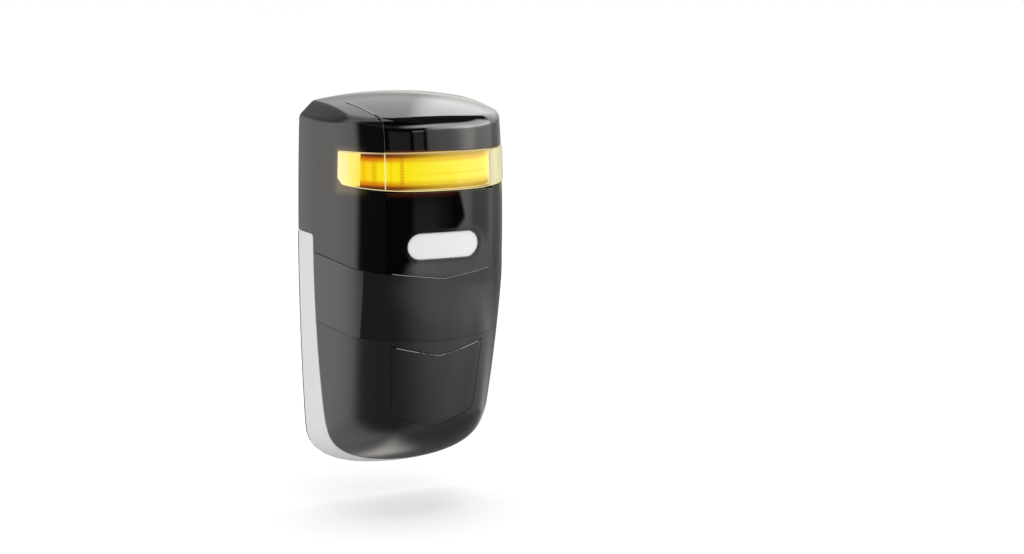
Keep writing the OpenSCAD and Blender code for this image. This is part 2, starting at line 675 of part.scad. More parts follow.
module badge_shape(grow) stadium(badge_w + 2 * grow, badge_h + 2 * grow);
module badge_skin(inset_0, inset_1)
    skin(inset_0, inset_1, badge_z - badge_h, badge_z + badge_h, body_d / 2);
module badge_pocket() intersection() {
    badge_shape(badge_frame + fit_gap);
    badge_skin(-over, badge_t + fit_gap / 2);
}
module upper_cover() color("#3a3836") difference() {
    intersection() {
        upper_form(0, seam_low_z);
        front_prism(above_seam, wall_clear, front_reach);
    }
    upper_form(cover_wall, seam_low_z - over, over);
    side_prism(lens_outline(0));
    side_prism(band_outline(seam_gap));
    difference() {
        plan_prism(visor_outline(0), seam_low_z, top_z + over);
        upper_form(visor_t, seam_low_z - over);
    }
    badge_pocket();
}
module visor_cap() color("#0c0c0d") difference() {
    intersection() {
        upper_form(-proud, lens_top_z - over, 0, 2);
        plan_prism(visor_outline(-fit_gap), lens_top_z + fit_gap, top_z + 2 * over);
    }
    upper_form(visor_t - fit_gap / 2, lens_top_z - 2 * over, over, 2);
}
module visor_face() color("#0c0c0d") difference() {
    intersection() {
        band_form(-proud, seam_low_z, lens_low_z + over, 0, 4);
        plan_prism(visor_outline(-fit_gap), seam_low_z, lens_low_z - fit_gap);
        front_prism(above_seam, 0, front_reach);
    }
    band_form(visor_t - fit_gap / 2, seam_low_z - over, lens_low_z + 2 * over, over, 4);
    badge_pocket();
}
module badge_bezel() color("#111214") difference() {
    intersection() {
        badge_shape(badge_frame);
        badge_skin(-proud - fit_gap, badge_t);
    }
    intersection() {
        badge_shape(fit_gap / 2);
        badge_skin(-over, badge_floor);
    }
}
module badge_plate() color("#dfe1e3") {
    intersection() {
        badge_shape(0);
        badge_skin(badge_bevel, badge_floor);
    }
    intersection() {
        badge_shape(-badge_bevel);
        badge_skin(0, badge_floor);
    }
}
lens_in = cover_wall + fit_gap + flange_t;
module lamp_lens() color([1, 0.98, 0.85, 0.5]) difference() {
    union() {
        intersection() {
            side_prism(lens_outline(-fit_gap));
            band_form(-proud, lens_low_z - over, lens_top_z + over);
        }
        intersection() {
            side_prism(lens_outline(flange_t));
            band_form(cover_wall + fit_gap, lens_low_z - 2 * over, lens_top_z + 2 * over);
        }
    }
    band_form(lens_in, lens_low_z - 3 * over, lens_top_z + 3 * over, over);
    intersection() {
        side_prism(lens_outline(-lens_wall));
        band_form(lens_wall, lens_low_z - over, lens_top_z + over);
    }
}

// Lower cover with its infrared window, captive screw and access lid
window_t = 1.2;
window_low_z = lower_seam_z - upper_seam_fall - lower_seam_drop - over;
window_high_z = upper_seam_z;
ledge = 2;
window_side_x = window_w / 2;
function slope_z(z, fall, drop, x) = z - fall - drop * (1 - x / seam_corner_x);
function window_outline(g, top_g) =
    let (x = window_side_x + g,
        high = slope_z(upper_seam_z, upper_seam_fall, upper_seam_drop, x) + top_g,
        low = slope_z(lower_seam_z, upper_seam_fall, lower_seam_drop, x) - g,
        high_mid = slope_z(upper_seam_z, upper_seam_fall, upper_seam_drop, 0) + top_g,
        low_mid = slope_z(lower_seam_z, upper_seam_fall, lower_seam_drop, 0) - g)
    [[-x, high], [-x, low], [0, low_mid], [x, low], [x, high], [0, high_mid]];
function lid_outline(g, top_g) = [
    [-lid_top_w / 2 - g, lid_top_z + top_g], [-lid_low_w / 2 - g, lid_low_z - g],
    [0, lid_low_z - lid_low_drop - g], [lid_low_w / 2 + g, lid_low_z - g],
    [lid_top_w / 2 + g, lid_top_z + top_g], [0, lid_top_z - lid_top_drop + top_g]];
lid_gap = 0.2;
lid_pry = 0.5;
lid_back = lid_t + lid_gap;
backing_t = 1.6;
backing_w = 2.4;
tongue_in = cover_wall + skirt_gap;
tongue_t = 1.1;
tongue_drop = 5;
tongue_root_h = 3.6;
tongue_rise = 4;
tongue_low_z = seam_low_z - tongue_drop;
tongue_high_z = upper_seam_z + tongue_rise;
tongue_end_d = 6;
tongue_root_d = band_top_d + 3 * over;
head_r = 3;
head_t = 2.2;
head_sink = 1.3;
head_d = front_d(cover_screw_z) - lid_back - head_t - head_sink;
well_r = 5;
well_end_d = boss_d + skirt_gap;
screw_reach = 12;
screw_tip_d = boss_d - screw_reach;
peg_r = 1.3;
peg_len = 2.6;
peg_in = 4;
peg_drop = 4.5;
peg_rise = 5.5;
peg_x = lid_low_w / 2 - peg_in;
peg_top_z = lid_top_z - peg_drop;
peg_low_z = lid_low_z + peg_rise;
module at_lid_pegs() for (x = [-peg_x, peg_x], z = [peg_top_z, peg_low_z]) translate([x, 0, z]) children();
lid_low_end = lid_low_z - lid_low_drop - 2 * backing_w;
lid_high_end = lid_top_z + 2 * backing_w;
module lower_cover() color("#383634") difference() {
    union() {
        difference() {
            intersection() {
                lower_form(0, upper_seam_z + over);
                front_prism(below_seam, wall_clear, front_reach);
            }
            lower_form(cover_wall, upper_seam_z + 2 * over, over);
            side_prism(band_outline(seam_gap));
        }
        skin(tongue_in, tongue_in + tongue_t, tongue_low_z, tongue_high_z, tongue_end_d);
        skin(cover_wall - fit_gap, tongue_in + tongue_t, tongue_low_z, tongue_low_z + tongue_root_h,
            tongue_root_d);
        intersection() {
            skin(cover_wall - fit_gap, lid_back + backing_t, lid_low_end, lid_high_end, guide_end_d / 2);
            front_prism(lid_outline(backing_w, backing_w), guide_end_d / 2, front_reach);
        }
        translate([0, 0, cover_screw_z]) peg(well_r, well_end_d, front_d(cover_screw_z) - cover_wall);
    }
    difference() {
        front_prism(lid_outline(lid_gap, lid_pry), guide_end_d / 2, front_reach);
        band_form(lid_back, lid_low_end - over, lid_high_end + over, over, 5);
    }
    difference() {
        front_prism(window_outline(fit_gap, over), guide_end_d / 2, front_reach);
        band_form(window_t + fit_gap / 2, window_low_z - 2 * ledge, window_high_z + over, over, 4);
    }
    front_prism(window_outline(-ledge, -ledge), guide_end_d / 2, front_reach);
    translate([0, 0, cover_screw_z]) {
        peg(cover_screw_r + fit_gap, well_end_d - over, front_reach);
        peg(head_r + fit_gap, head_d, front_reach);
    }
    at_lid_pegs() peg(peg_r + fit_gap, guide_end_d / 2, front_reach);
}
module ir_window() color("#1d1b1b") {
    low = window_low_z;
    high = window_high_z;
    intersection() {
        skin(fit_gap, window_t, low, high, guide_end_d / 2, 4);
        front_prism(window_outline(0, -seam_gap / 2), guide_end_d / 2, front_reach);
    }
    intersection() {
        skin(window_t - fit_gap, cover_wall, low, high, guide_end_d / 2, 4);
        front_prism(window_outline(-ledge - fit_gap, -ledge - fit_gap), guide_end_d / 2, front_reach);
    }
}
module cover_screw() color("#b8bbbf") translate([0, 0, cover_screw_z]) union() {
    difference() {
        peg(head_r, head_d, head_d + head_t);
        cross(head_r, head_d + head_t, head_t / 2);
    }
    peg(cover_screw_r, screw_tip_d, head_d + head_t / 4);
}
module access_lid() color("#343230") union() {
    intersection() {
        difference() {
            lower_form(0, upper_seam_z + over);
            band_form(lid_t, lid_low_end - over, lid_high_end + over, over, 5);
        }
        front_prism(lid_outline(0, 0), guide_end_d / 2, front_reach);
    }
    intersection() {
        at_lid_pegs() peg(peg_r, guide_end_d / 2, front_reach);
        skin(lid_t / 2, lid_t + peg_len, lid_low_end, lid_high_end, guide_end_d / 2, 5);
    }
}

wall_gasket();
rear_base();
cable_grommet();
cover_seal();
main_board();
board_screws();
terminal_block();
terminal_screws();
relay();
capacitor();
controller_chip();
voltage_regulator();
dip_switch_body();
dip_slider_1();
dip_slider_2();
status_led();
optic_bracket();
optic_barrel();
optic_pivots();
optic_lens();
ir_receiver();
lamp_carrier();
carrier_screws();
lamp_board();
lamp_leds();
light_guide();
ribbon_socket();
lamp_ribbon();
upper_cover();
visor_cap();
visor_face();
lamp_lens();
badge_bezel();
badge_plate();
ir_window();
lower_cover();
cover_screw();
access_lid();
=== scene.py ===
import json
import math

import bmesh
import bpy
from mathutils import Matrix, Vector


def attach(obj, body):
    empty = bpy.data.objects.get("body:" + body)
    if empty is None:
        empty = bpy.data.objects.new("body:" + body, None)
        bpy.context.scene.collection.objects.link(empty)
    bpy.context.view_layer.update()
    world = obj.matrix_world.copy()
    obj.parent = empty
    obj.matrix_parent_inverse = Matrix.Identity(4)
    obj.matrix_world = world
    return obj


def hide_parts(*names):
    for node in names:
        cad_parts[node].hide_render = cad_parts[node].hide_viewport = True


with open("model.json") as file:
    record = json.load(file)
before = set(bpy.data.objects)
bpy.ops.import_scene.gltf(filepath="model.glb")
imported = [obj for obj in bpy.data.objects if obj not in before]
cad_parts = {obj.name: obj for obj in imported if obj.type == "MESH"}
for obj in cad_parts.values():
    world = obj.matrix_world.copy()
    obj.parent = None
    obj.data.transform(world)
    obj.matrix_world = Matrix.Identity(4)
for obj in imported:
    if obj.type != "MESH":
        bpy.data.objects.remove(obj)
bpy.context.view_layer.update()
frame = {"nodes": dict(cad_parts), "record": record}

MM = 0.001
nodes = frame["nodes"]
body_of_node = {node: body for body, names in frame["record"]["behaviour"]["bodies"].items()
                for node in names}
slot_of_node = {part["node"]: part["material_slot"] for part in frame["record"]["subparts"]}

# Camera at the photograph's viewing angle: degrees round and above the part, then millimetres
CAMERA_ROUND, CAMERA_ABOVE = -26.509, 9.259
CAMERA_AIM, CAMERA_AWAY, CAMERA_RIGHT, CAMERA_UP = (0, -20, 0), 636.3, 33.3, 4.28
CAMERA_LENS, CAMERA_SENSOR, CAMERA_NEAR, CAMERA_FAR = 67.46, 36, 50, 20000
FLOOR_Z, FLOOR_HALF = -74.4, 6000

# The housing's form in millimetres, in the words of part.scad
BODY_W, BODY_D, TOP, LOW = 64.6, 47.0, 65.0, -61.9
PLAN_POWER, PLAN_TAPER, TAPER_BELOW = 2.8, 0.014, 5
SIDE_BOW, BOW_Z, BOW_HALF = 1.1, 10, 50
FRONT_CURVE_R, CURVE_BELOW = 370, 38
FRONT_LEAN_R, LEAN_ABOVE = 120, 40
SIDE_ROUND_H, SIDE_ROUND_POWER = 15.8, 2.55
FRONT_ROUND_H, FRONT_ROUND_POWER = 22.0, 1.67
CROWN_R, ROOF_FALL_R, ROOF_FRONT_R, ROOF_SIDE_R = 137, 156, 3, 1
CHAMFER_W, CHAMFER_H, CHAMFER_BLEND = 4.6, 4.4, 0.7
WALL, PROUD, SEAM_GAP, FIT = 2.2, 0.3, 0.2, 0.1
UPPER_SEAM_Z, UPPER_SEAM_DROP = 13.8, 3.5
LOWER_SEAM_Z, LOWER_SEAM_DROP = -8.8, 1.4
SEAM_FALL, SEAM_FRONT_X, SEAM_SIDE_X = 3.0, 26, 31.6
BASE_TOP_Z, BAND_TOP_D, BAND_LOW_D, BAND_CORNER_R = 19.8, 13.2, 14.5, 1.7
LENS_TOP, LENS_LOW, LENS_Z, LENS_END = 48.3, 35.7, 42.0, 28.4
LENS_CHAMFER, LENS_RISE, LENS_WALL = 2, 1.8, 1.9
VISOR_W, VISOR_BACK_W, VISOR_BACK, VISOR_TURN, VISOR_T = 37.2, 42.4, 16.0, 40.4, 1.4
BADGE_W, BADGE_H, BADGE_Z, BADGE_FRAME = 24.8, 8.6, 18.4, 0.9
WINDOW_X = 24.2
LID_TOP_HALF, LID_TOP_Z, LID_TOP_DROP = 16, -14.3, 3.5
LID_LOW_HALF, LID_LOW_Z, LID_LOW_DROP = 14.7, -37.6, 4.8
LID_T, LID_TIP_R, LID_CORNER_R = 1.8, 2, 1.6

# The drawn skins lie this far inside the solids' faces
SKIN = 0.03
# Lines of the cuts end this far out, clear of the housing
PAST_BACK, PAST_FRONT, PAST_TOP = 5, -50, 80
# Edges that turn by fewer degrees are shaded smooth, on drawn skins and on the CAD's solids
SMOOTH_SKIN, SMOOTH_SOLID = 21.5, 32


def add_object(name, data):
    thing = bpy.data.objects.new(name, data)
    bpy.context.collection.objects.link(thing)
    return thing


def to_mesh(name, bm):
    mesh = bpy.data.meshes.new(name)
    bm.to_mesh(mesh)
    bm.free()
    return mesh


def add_camera():
    azimuth, elevation = math.radians(CAMERA_ROUND), math.radians(CAMERA_ABOVE)
    back = Vector((math.sin(azimuth) * math.cos(elevation),
                   -math.cos(azimuth) * math.cos(elevation), math.sin(elevation)))
    right = Vector((math.cos(azimuth), math.sin(azimuth), 0))
    up = back.cross(right)
    place = Vector(CAMERA_AIM) * MM + back * CAMERA_AWAY * MM
    place += right * CAMERA_RIGHT * MM + up * CAMERA_UP * MM
    data = bpy.data.cameras.new("camera")
    data.lens, data.sensor_width = CAMERA_LENS, CAMERA_SENSOR
    data.clip_start, data.clip_end = CAMERA_NEAR * MM, CAMERA_FAR * MM
    camera = add_object("camera", data)
    camera.matrix_world = Matrix(((right.x, up.x, back.x, place.x),
                                  (right.y, up.y, back.y, place.y),
                                  (right.z, up.z, back.z, place.z), (0, 0, 0, 1)))
    bpy.context.scene.camera = camera


add_camera()
bpy.context.scene.view_settings.view_transform = "Standard"


# Node helpers
class Value:
    """A number in a node tree, so that what is done with it reads like a sum."""

    def __init__(self, tree_nodes, socket):
        self.nodes, self.socket = tree_nodes, socket

    def __add__(self, other):
        return self.nodes.math("ADD", self, other)

    def __sub__(self, other):
        return self.nodes.math("SUBTRACT", self, other)

    def __rsub__(self, other):
        return self.nodes.math("SUBTRACT", other, self)

    def __mul__(self, other):
        return self.nodes.math("MULTIPLY", self, other)

    def __pow__(self, other):
        return self.nodes.math("POWER", self, other)

    def __abs__(self):
        return self.nodes.math("ABSOLUTE", self)


class Nodes:
    """A node tree that is filled by short calls."""

    def __init__(self, tree):
        self.tree = tree
        tree.nodes.clear()

    def feed(self, socket, value):
        if isinstance(value, Value):
            value = value.socket
        if isinstance(value, bpy.types.NodeSocket):
            self.tree.links.new(value, socket)
        else:
            socket.default_value = value

    def add(self, kind, inputs=None, **settings):
        node = self.tree.nodes.new(kind)
        for key, value in settings.items():
            setattr(node, key, value)
        for key, value in (inputs or {}).items():
            self.feed(node.inputs[key], value)
        return node

    def out(self, kind, *inputs):
        """What a node gives, with its inputs in their order."""
        return self.add(kind, dict(enumerate(inputs))).outputs[0]

    def math(self, operation, a, b=0.0):
        node = self.add("ShaderNodeMath", {0: a, 1: b}, operation=operation)
        return Value(self, node.outputs[0])

    def most(self, number, *others):
        """The largest of several numbers."""
        for other in others:
            number = self.math("MAXIMUM", number, other)
        return number

    def step(self, value, low, high, to_low=0.0, to_high=1.0, kind="SMOOTHSTEP"):
        """Goes softly from to_low to to_high while value goes from low to high."""
        inputs = {0: value, 1: low, 2: high, 3: to_low, 4: to_high}
        node = self.add("ShaderNodeMapRange", inputs, interpolation_type=kind)
        return Value(self, node.outputs[0])

    def ramp(self, value, low, high, to_low, to_high):
        """The same along a straight line."""
        return self.step(value, low, high, to_low, to_high, "LINEAR")

    def fade(self, value, low, high, left=0.0):
        """Goes softly from 1 down to what is left."""
        return self.step(value, low, high, 1.0, left)

    def band(self, value, low, high, soft, strength=1.0):
        """Has its strength between two limits and none outside them."""
        rise = self.step(value, low - soft, low + soft)
        return rise * self.fade(value, high - soft, high + soft) * strength

    def mix(self, factor, a, b, blend="MIX"):
        node = self.tree.nodes.new("ShaderNodeMix")
        node.data_type, node.blend_type = "RGBA", blend
        for key, value in ((0, factor), (6, a), (7, b)):
            self.feed(node.inputs[key], value)
        return node.outputs[2]

    def tones(self, value, colour, *changes):
        """A colour that turns into the next one while value goes from low to high."""
        for low, high, following in changes:
            colour = self.mix(self.step(value, low, high), colour, following)
        return colour

    def noise(self, coords, scale, detail=2.0):
        inputs = {"Vector": coords, "Scale": scale, "Detail": detail}
        return Value(self, self.add("ShaderNodeTexNoise", inputs).outputs[0])

    def place(self):
        return self.add("ShaderNodeTexCoord").outputs["Object"]

    def parts(self, vector):
        """A vector's three numbers."""
        outputs = self.add("ShaderNodeSeparateXYZ", {0: vector}).outputs
        return [Value(self, part) for part in outputs]

    def in_mm(self, place):
        return self.parts(self.add("ShaderNodeVectorMath", {0: place, "Scale": 1 / MM},
                                   operation="SCALE").outputs[0])


def new_material(name):
    material = bpy.data.materials.new(name)
    material.use_nodes = True
    return material, Nodes(material.node_tree)


def grey(level):
    return (level, level, level, 1.0)


# Studio: what the gloss reflects, by the way it looks. Azimuths are degrees round from the front,
# to the right positive, heights are degrees up, and a level of 1 is white.
def right_card(n, azimuth, height):
    """The card to the right, whose inner edge leans with the height."""
    lean = n.ramp(height, -13.0, -10.3, 24.0, 36.0) - n.ramp(height, -16.6, -13.0, 30.0, 0.0)
    beyond = azimuth - (lean - n.ramp(height, -10.3, 1.0, 0.0, 20.0))
    # The inner edge: two soft steps high up, one sharp one in the middle, slow ones low down
    blur = n.step(height, -16.5, -14.5, 8.0, 1.0)
    blur_in, blur_out = blur * -1.2, blur * 2.2
    slow = n.step(beyond, 0.0, n.step(height, -4.0, 5.0, 15.0, 36.0), 0.0, 0.58)
    edge = n.step(beyond, blur_in, blur_out, 0.0, 0.42) + slow
    above_seam = n.step(height, -18.4, -17.2)
    sharp = n.fade(height, -8.0, 0.0) * above_seam
    at_window = n.step(height, -25.0, -23.0)
    low_edge = n.most(n.step(azimuth, -31.0, 49.0, 0.0, 1.1) * (1.0 - at_window),
                      n.step(azimuth, -52.0, 60.0, 0.0, 1.7) * at_window)
    edge = n.most(edge * above_seam, low_edge * (1.0 - above_seam),
                  n.step(beyond, blur_in, blur_out) * sharp)
    # Its level: brighter high up, dimmer low down on the right
    peak = n.band(azimuth, 32.0, 50.0, 8.0, 0.6) * n.step(height, -4.0, 3.0) + 1.0
    low_right = n.most(n.fade(azimuth, 45.0, 75.0, 0.53), n.step(height, -23.0, -20.5))
    level = n.ramp(height, -13.0, 24.0, 0.72, 1.7) * (peak * low_right)
    # What dims it far round, beside the badge and just below the lens
    far_round = n.most(n.fade(azimuth, 84.0, 112.0, 0.5), n.step(height, -4.0, 8.0),
                       n.band(height, -20.5, -15.8, 0.8, 0.95))
    beside = n.step(azimuth, 62.0, 84.0, 0.0, 0.18) * n.band(height, -14.8, -6.0, 0.8)
    below_lens = n.step(azimuth, 38.0, 50.0, 0.0, 0.5) * n.band(height, -11.3, -5.0, 0.9)
    below_lens = below_lens * n.fade(azimuth, 70.0, 82.0, 0.35)
    return edge * level * (far_round * (1.0 - n.most(beside, below_lens)))


def side_walls(n, azimuth, height):
    """Both cards at the sides, over a floor that is dark in front."""
    turned = azimuth + n.step(height, -2.0, 5.0, 3.0, 5.0)
    left = n.step(turned, -95.0, -82.0, 1.35, 0.0) * n.step(height, -38.0, -28.0, 0.74, 1.0)
    walls = n.most(right_card(n, azimuth, height), left)
    walls = walls * n.fade(azimuth * -1.0, 118.0, 158.0, 0.55)
    sides = n.most(n.step(azimuth, 148.0, 162.0), n.fade(azimuth, -95.0, -80.0))
    walls = walls * n.most(n.step(height, -42.0, -22.0, 0.5, 1.0), sides)
    # The glow low behind, which the rounded bottom shows
    glow = n.step(azimuth, 142.0, 156.0) * n.step(azimuth, 158.0, 170.0, 2.1, 0.5)
    glow_low = n.step(azimuth, 158.0, 168.0, -48.0, -47.0)
    glow_high = n.step(azimuth, 158.0, 168.0, -45.0, -39.0)
    return n.most(walls, glow * n.fade(height, glow_low, glow_high))


def box_behind(n, azimuth, height):
    """The soft box behind and above the housing, dimmer where the chamfers show it."""
    bright = n.step(azimuth, 90.0, 100.0) * n.step(azimuth, 152.0, 158.0, 2.05, 0.0)
    box = n.most(bright, 1.02) * n.step(height, 12.0, 21.0, 0.55, 1.0)
    chamfer = n.most(n.step(azimuth, 165.0, 174.0), n.fade(azimuth, -130.0, -110.0))
    return box * (1.0 - chamfer * n.band(height, 14.0, 44.0, 4.0, 0.68))


def below_gap(n, azimuth, height, behind):
    """Keeps what is below the dark gap overhead, which lies higher on the left."""
    left = n.most(n.step(azimuth, 153.0, 158.0), n.fade(azimuth, -120.0, -100.0))
    far_left = n.most(n.step(azimuth, 165.0, 176.0), n.fade(azimuth, -110.0, -90.0))
    back = n.fade(height - (left * 13.0 + far_left * 40.0), 35.5, 38.0, 0.02)
    front = n.most(n.fade(height, 20.0, 40.0, 0.02), n.step(azimuth, -90.0, -78.0, 0.9, 0.0))
    return back * behind + front * (1.0 - behind)


def dark_room(n, azimuth, height):
    """The room where the camera stands: a light high up, and things that show faintly."""
    before = n.fade(abs(azimuth), 85.0, 105.0)
    top = n.band(height, 24.0, 46.0, 4.0) * before * n.step(azimuth, -25.0, 22.0, 0.1, 2.6)
    stripes = n.band(azimuth, -36.0, -3.0, 1.5, 0.1) + n.band(azimuth, 2.0, 13.0, 1.0, 0.16)
    stripes = stripes * n.band(height, 0.0, 9.0, 1.5)
    shine = n.band(azimuth, 1.0, 14.0, 1.0, 0.9) * n.band(height, 9.0, 11.5, 0.8)
    streaks = n.band(azimuth, 1.0, 24.0, 4.0, 0.1) * n.band(height, -19.0, -8.0, 2.0)
    lip = n.step(azimuth, 14.0, 32.0, 0.0, 2.9) * n.band(height, 12.5, 22.0, 3.0) * before
    return top + (stripes + shine + streaks + 0.008 + lip)


def light_studio():
    world = bpy.data.worlds.new("studio")
    bpy.context.scene.world = world
    world.use_nodes = True
    n = Nodes(world.node_tree)
    x, y, z = n.parts(n.add("ShaderNodeTexCoord").outputs["Generated"])
    azimuth = n.math("ARCTAN2", x, y * -1.0) * math.degrees(1)
    height = n.math("ARCSINE", z) * math.degrees(1)
    behind = n.step(abs(azimuth), 95.0, 125.0)
    high = n.step(height, 6.0, 14.0) * behind
    walls = side_walls(n, azimuth, height) * (1.0 - high) + box_behind(n, azimuth, height) * high
    level = walls * below_gap(n, azimuth, height, behind) + dark_room(n, azimuth, height)
    warm = n.mix(n.step(height, 8.0, 16.0), (1.0, 0.965, 0.925, 1), (1.0, 0.995, 0.985, 1))
    rays = n.add("ShaderNodeLightPath").outputs
    glossy = n.out("ShaderNodeBackground", n.mix(1.0, warm, level, "MULTIPLY"), 1.0)
    plain = n.out("ShaderNodeBackground", grey(1.0), 0.98)
    white = n.out("ShaderNodeBackground", grey(1.0), 1.0)
    unseen = n.out("ShaderNodeMixShader", rays["Is Glossy Ray"], plain, glossy)
    shown = n.most(rays["Is Camera Ray"], rays["Is Transmission Ray"])
    n.add("ShaderNodeOutputWorld", {0: n.out("ShaderNodeMixShader", shown, unseen, white)})


def add_soft_light(name, place, target, size, power):
    """A round lamp that the gloss doesn't show, in millimetres and watts."""
    data = bpy.data.lights.new(name, "AREA")
    data.shape, data.size, data.energy = "DISK", size * MM, power
    light = add_object(name, data)
    turn = (Vector(target) - Vector(place)).to_track_quat("-Z", "Y")
    light.matrix_world = Matrix.Translation(Vector(place) * MM) @ turn.to_matrix().to_4x4()
    light.visible_glossy = False


def lay_floor():
    bm = bmesh.new()
    bmesh.ops.create_grid(bm, x_segments=2, y_segments=2, size=FLOOR_HALF * MM)
    bmesh.ops.translate(bm, verts=bm.verts, vec=(0, 0, FLOOR_Z * MM))
    floor = add_object("floor", to_mesh("floor", bm))
    material, n = new_material("pale_floor")
    rays = n.add("ShaderNodeLightPath").outputs
    shade = n.out("ShaderNodeBsdfDiffuse", grey(0.74))
    lit = n.out("ShaderNodeAddShader", n.out("ShaderNodeEmission", grey(0.295), 1.0), shade)
    seen = n.out("ShaderNodeMixShader", rays["Is Camera Ray"], shade, lit)
    clear = n.out("ShaderNodeBsdfTransparent")
    both = n.out("ShaderNodeMixShader", rays["Is Glossy Ray"], seen, clear)
    n.add("ShaderNodeOutputMaterial", {0: both})
    floor.data.materials.append(material)


light_studio()
lay_floor()
add_soft_light("overhead", place=(150, -100, 900), target=CAMERA_AIM, size=700, power=2.0)


# Finishes
def finish(name, colour, rough, grain=900, depth=0.0, tone=0.1, rough_by=0.02, glow=None,
           **sockets):
    """A moulded or plated surface: slight changes of tone and gloss, and light that falls on it."""
    material, n = new_material(name)
    place = n.place()
    broad = n.noise(place, 35.0, 3.0)
    low = tuple(c * (1 - tone) for c in colour) + (1,)
    high = tuple(min(1, c * (1 + tone)) for c in colour) + (1,)
    inputs = {"Base Color": n.mix(broad, low, high),
              "Roughness": n.step(broad, 0.1, 0.9, rough - rough_by, rough + rough_by), **sockets}
    if depth:
        bump = {"Strength": depth, "Distance": 0.0004, "Height": n.noise(place, grain)}
        inputs["Normal"] = n.add("ShaderNodeBump", bump).outputs[0]
    if glow:
        inputs["Emission Color"] = glow(n, place)
        inputs["Emission Strength"] = 1.0
    surface = n.add("ShaderNodeBsdfPrincipled", inputs)
    n.add("ShaderNodeOutputMaterial", {0: surface.outputs[0]})
    return material


def lamp_spill(n, place):
    """The lamp's light on the cover round the lens ends, which spreads further on the right."""
    x, y, z = n.in_mm(place)
    over = n.most(z - LENS_TOP, LENS_LOW - z) * n.fade(x, -1.0, 1.0, 0.45)
    away = n.math("SQRT", n.most(over, 0.0) ** 2.0 + n.most(y + LENS_END, 0.0) ** 2.0)
    ends = n.step(abs(x), 22.0, 28.0) * n.step(x, -1.0, 1.0, 0.45, 1.5)
    soft = n.ramp(away, 0.0, 3.2, 1.0, 0.0) ** 2.6
    return n.mix(soft * (ends * 0.22), grey(0.0), (1.0, 0.76, 0.3, 1))


def red_spill(n, place):
    """The lamp's dim red light just under and over the lens."""
    x, _, z = n.in_mm(place)
    under = n.step(z, LENS_LOW - 2.1, LENS_LOW, 0.0, 0.035) * n.fade(z, 36.5, 37.0)
    above = n.step(z, 48.2, 49.4, 0.1, 0.0) * n.step(z, 47.0, 47.5)
    strength = (under + above) * n.fade(abs(x + 8.0), 6.0, 17.0, 0.15)
    return n.mix(strength, grey(0.0), (1.0, 0.2, 0.02, 1))


FINISHES = {
    "black_rubber": dict(colour=(0.02, 0.02, 0.021), rough=0.75, grain=1500, depth=0.15),
    "silver_plastic": dict(colour=(0.79, 0.79, 0.795), rough=0.4, tone=0.012, rough_by=0.01),
    "dark_plastic": dict(colour=(0.0035, 0.0034, 0.0033), rough=0.12, rough_by=0.015,
                         glow=lamp_spill, IOR=1.7),
    "satin_dark": dict(colour=(0.0165, 0.0163, 0.0158), rough=0.25, tone=0.05, rough_by=0.01,
                       IOR=1.68),
    # A lighter copy of the dark plastic for the bands beside the window: painted light, the band
    # between the seams shown lighter than the cover below as light falls on it differently.
    "band_painted_lighter": dict(colour=(0.034, 0.0335, 0.0325), rough=0.34, tone=0.06, IOR=1.7),
    # Paler greys for the rounded rims of black parts: painted highlight lines along the visor's and
    # the lid's edges.
    "rim_painted_highlight": dict(colour=(0.36, 0.355, 0.34), rough=0.3, tone=0.05),
    "cap_rim_painted_highlight": dict(colour=(0.42, 0.42, 0.41), rough=0.3, tone=0.05),
    "gloss_black": dict(colour=(0.0012, 0.0012, 0.0012), rough=0.04, rough_by=0.008,
                        glow=red_spill, IOR=1.95),
    "window_plastic": dict(colour=(0.0125, 0.0122, 0.0116), rough=0.15, IOR=1.66),
    "badge_silver": dict(colour=(0.94, 0.942, 0.945), rough=0.3, tone=0.012, rough_by=0.01,
                         Metallic=0.08),
    "badge_frame": dict(colour=(0.004, 0.004, 0.004), rough=0.08, rough_by=0.01, IOR=1.8),
    "green_board": dict(colour=(0.02, 0.16, 0.06), rough=0.35, grain=700, depth=0.05, tone=0.2),
    "white_plastic": dict(colour=(0.82, 0.8, 0.73), rough=0.4, depth=0.02, tone=0.03),
    "strip_board": dict(colour=(0.8, 0.77, 0.68), rough=0.4, depth=0.02, tone=0.03),
    "steel": dict(colour=(0.62, 0.62, 0.64), rough=0.28, grain=1800, depth=0.04, tone=0.05,
                  Metallic=1.0),
    "terminal_green": dict(colour=(0.05, 0.36, 0.16), rough=0.42, depth=0.03),
    "relay_orange": dict(colour=(0.8, 0.3, 0.05), rough=0.3, depth=0.02, tone=0.05),
    "can_blue": dict(colour=(0.03, 0.035, 0.06), rough=0.3, depth=0.02),
    "chip_black": dict(colour=(0.015, 0.015, 0.016), rough=0.55, grain=2500, depth=0.1),
    "switch_red": dict(colour=(0.5, 0.03, 0.02), rough=0.4, depth=0.02),
    "led_green": dict(colour=(0.2, 0.7, 0.2), rough=0.2, tone=0.05),
    "led_yellow": dict(colour=(1.0, 0.75, 0.1), rough=0.3, tone=0.05),
    "optic_black": dict(colour=(0.012, 0.012, 0.014), rough=0.5, grain=1500, depth=0.05),
    "optic_red": dict(colour=(0.22, 0.01, 0.01), rough=0.08, rough_by=0.01),
    "diode_dark": dict(colour=(0.02, 0.025, 0.035), rough=0.1),
    "ribbon_amber": dict(colour=(0.55, 0.28, 0.05), rough=0.3, depth=0.02),
}


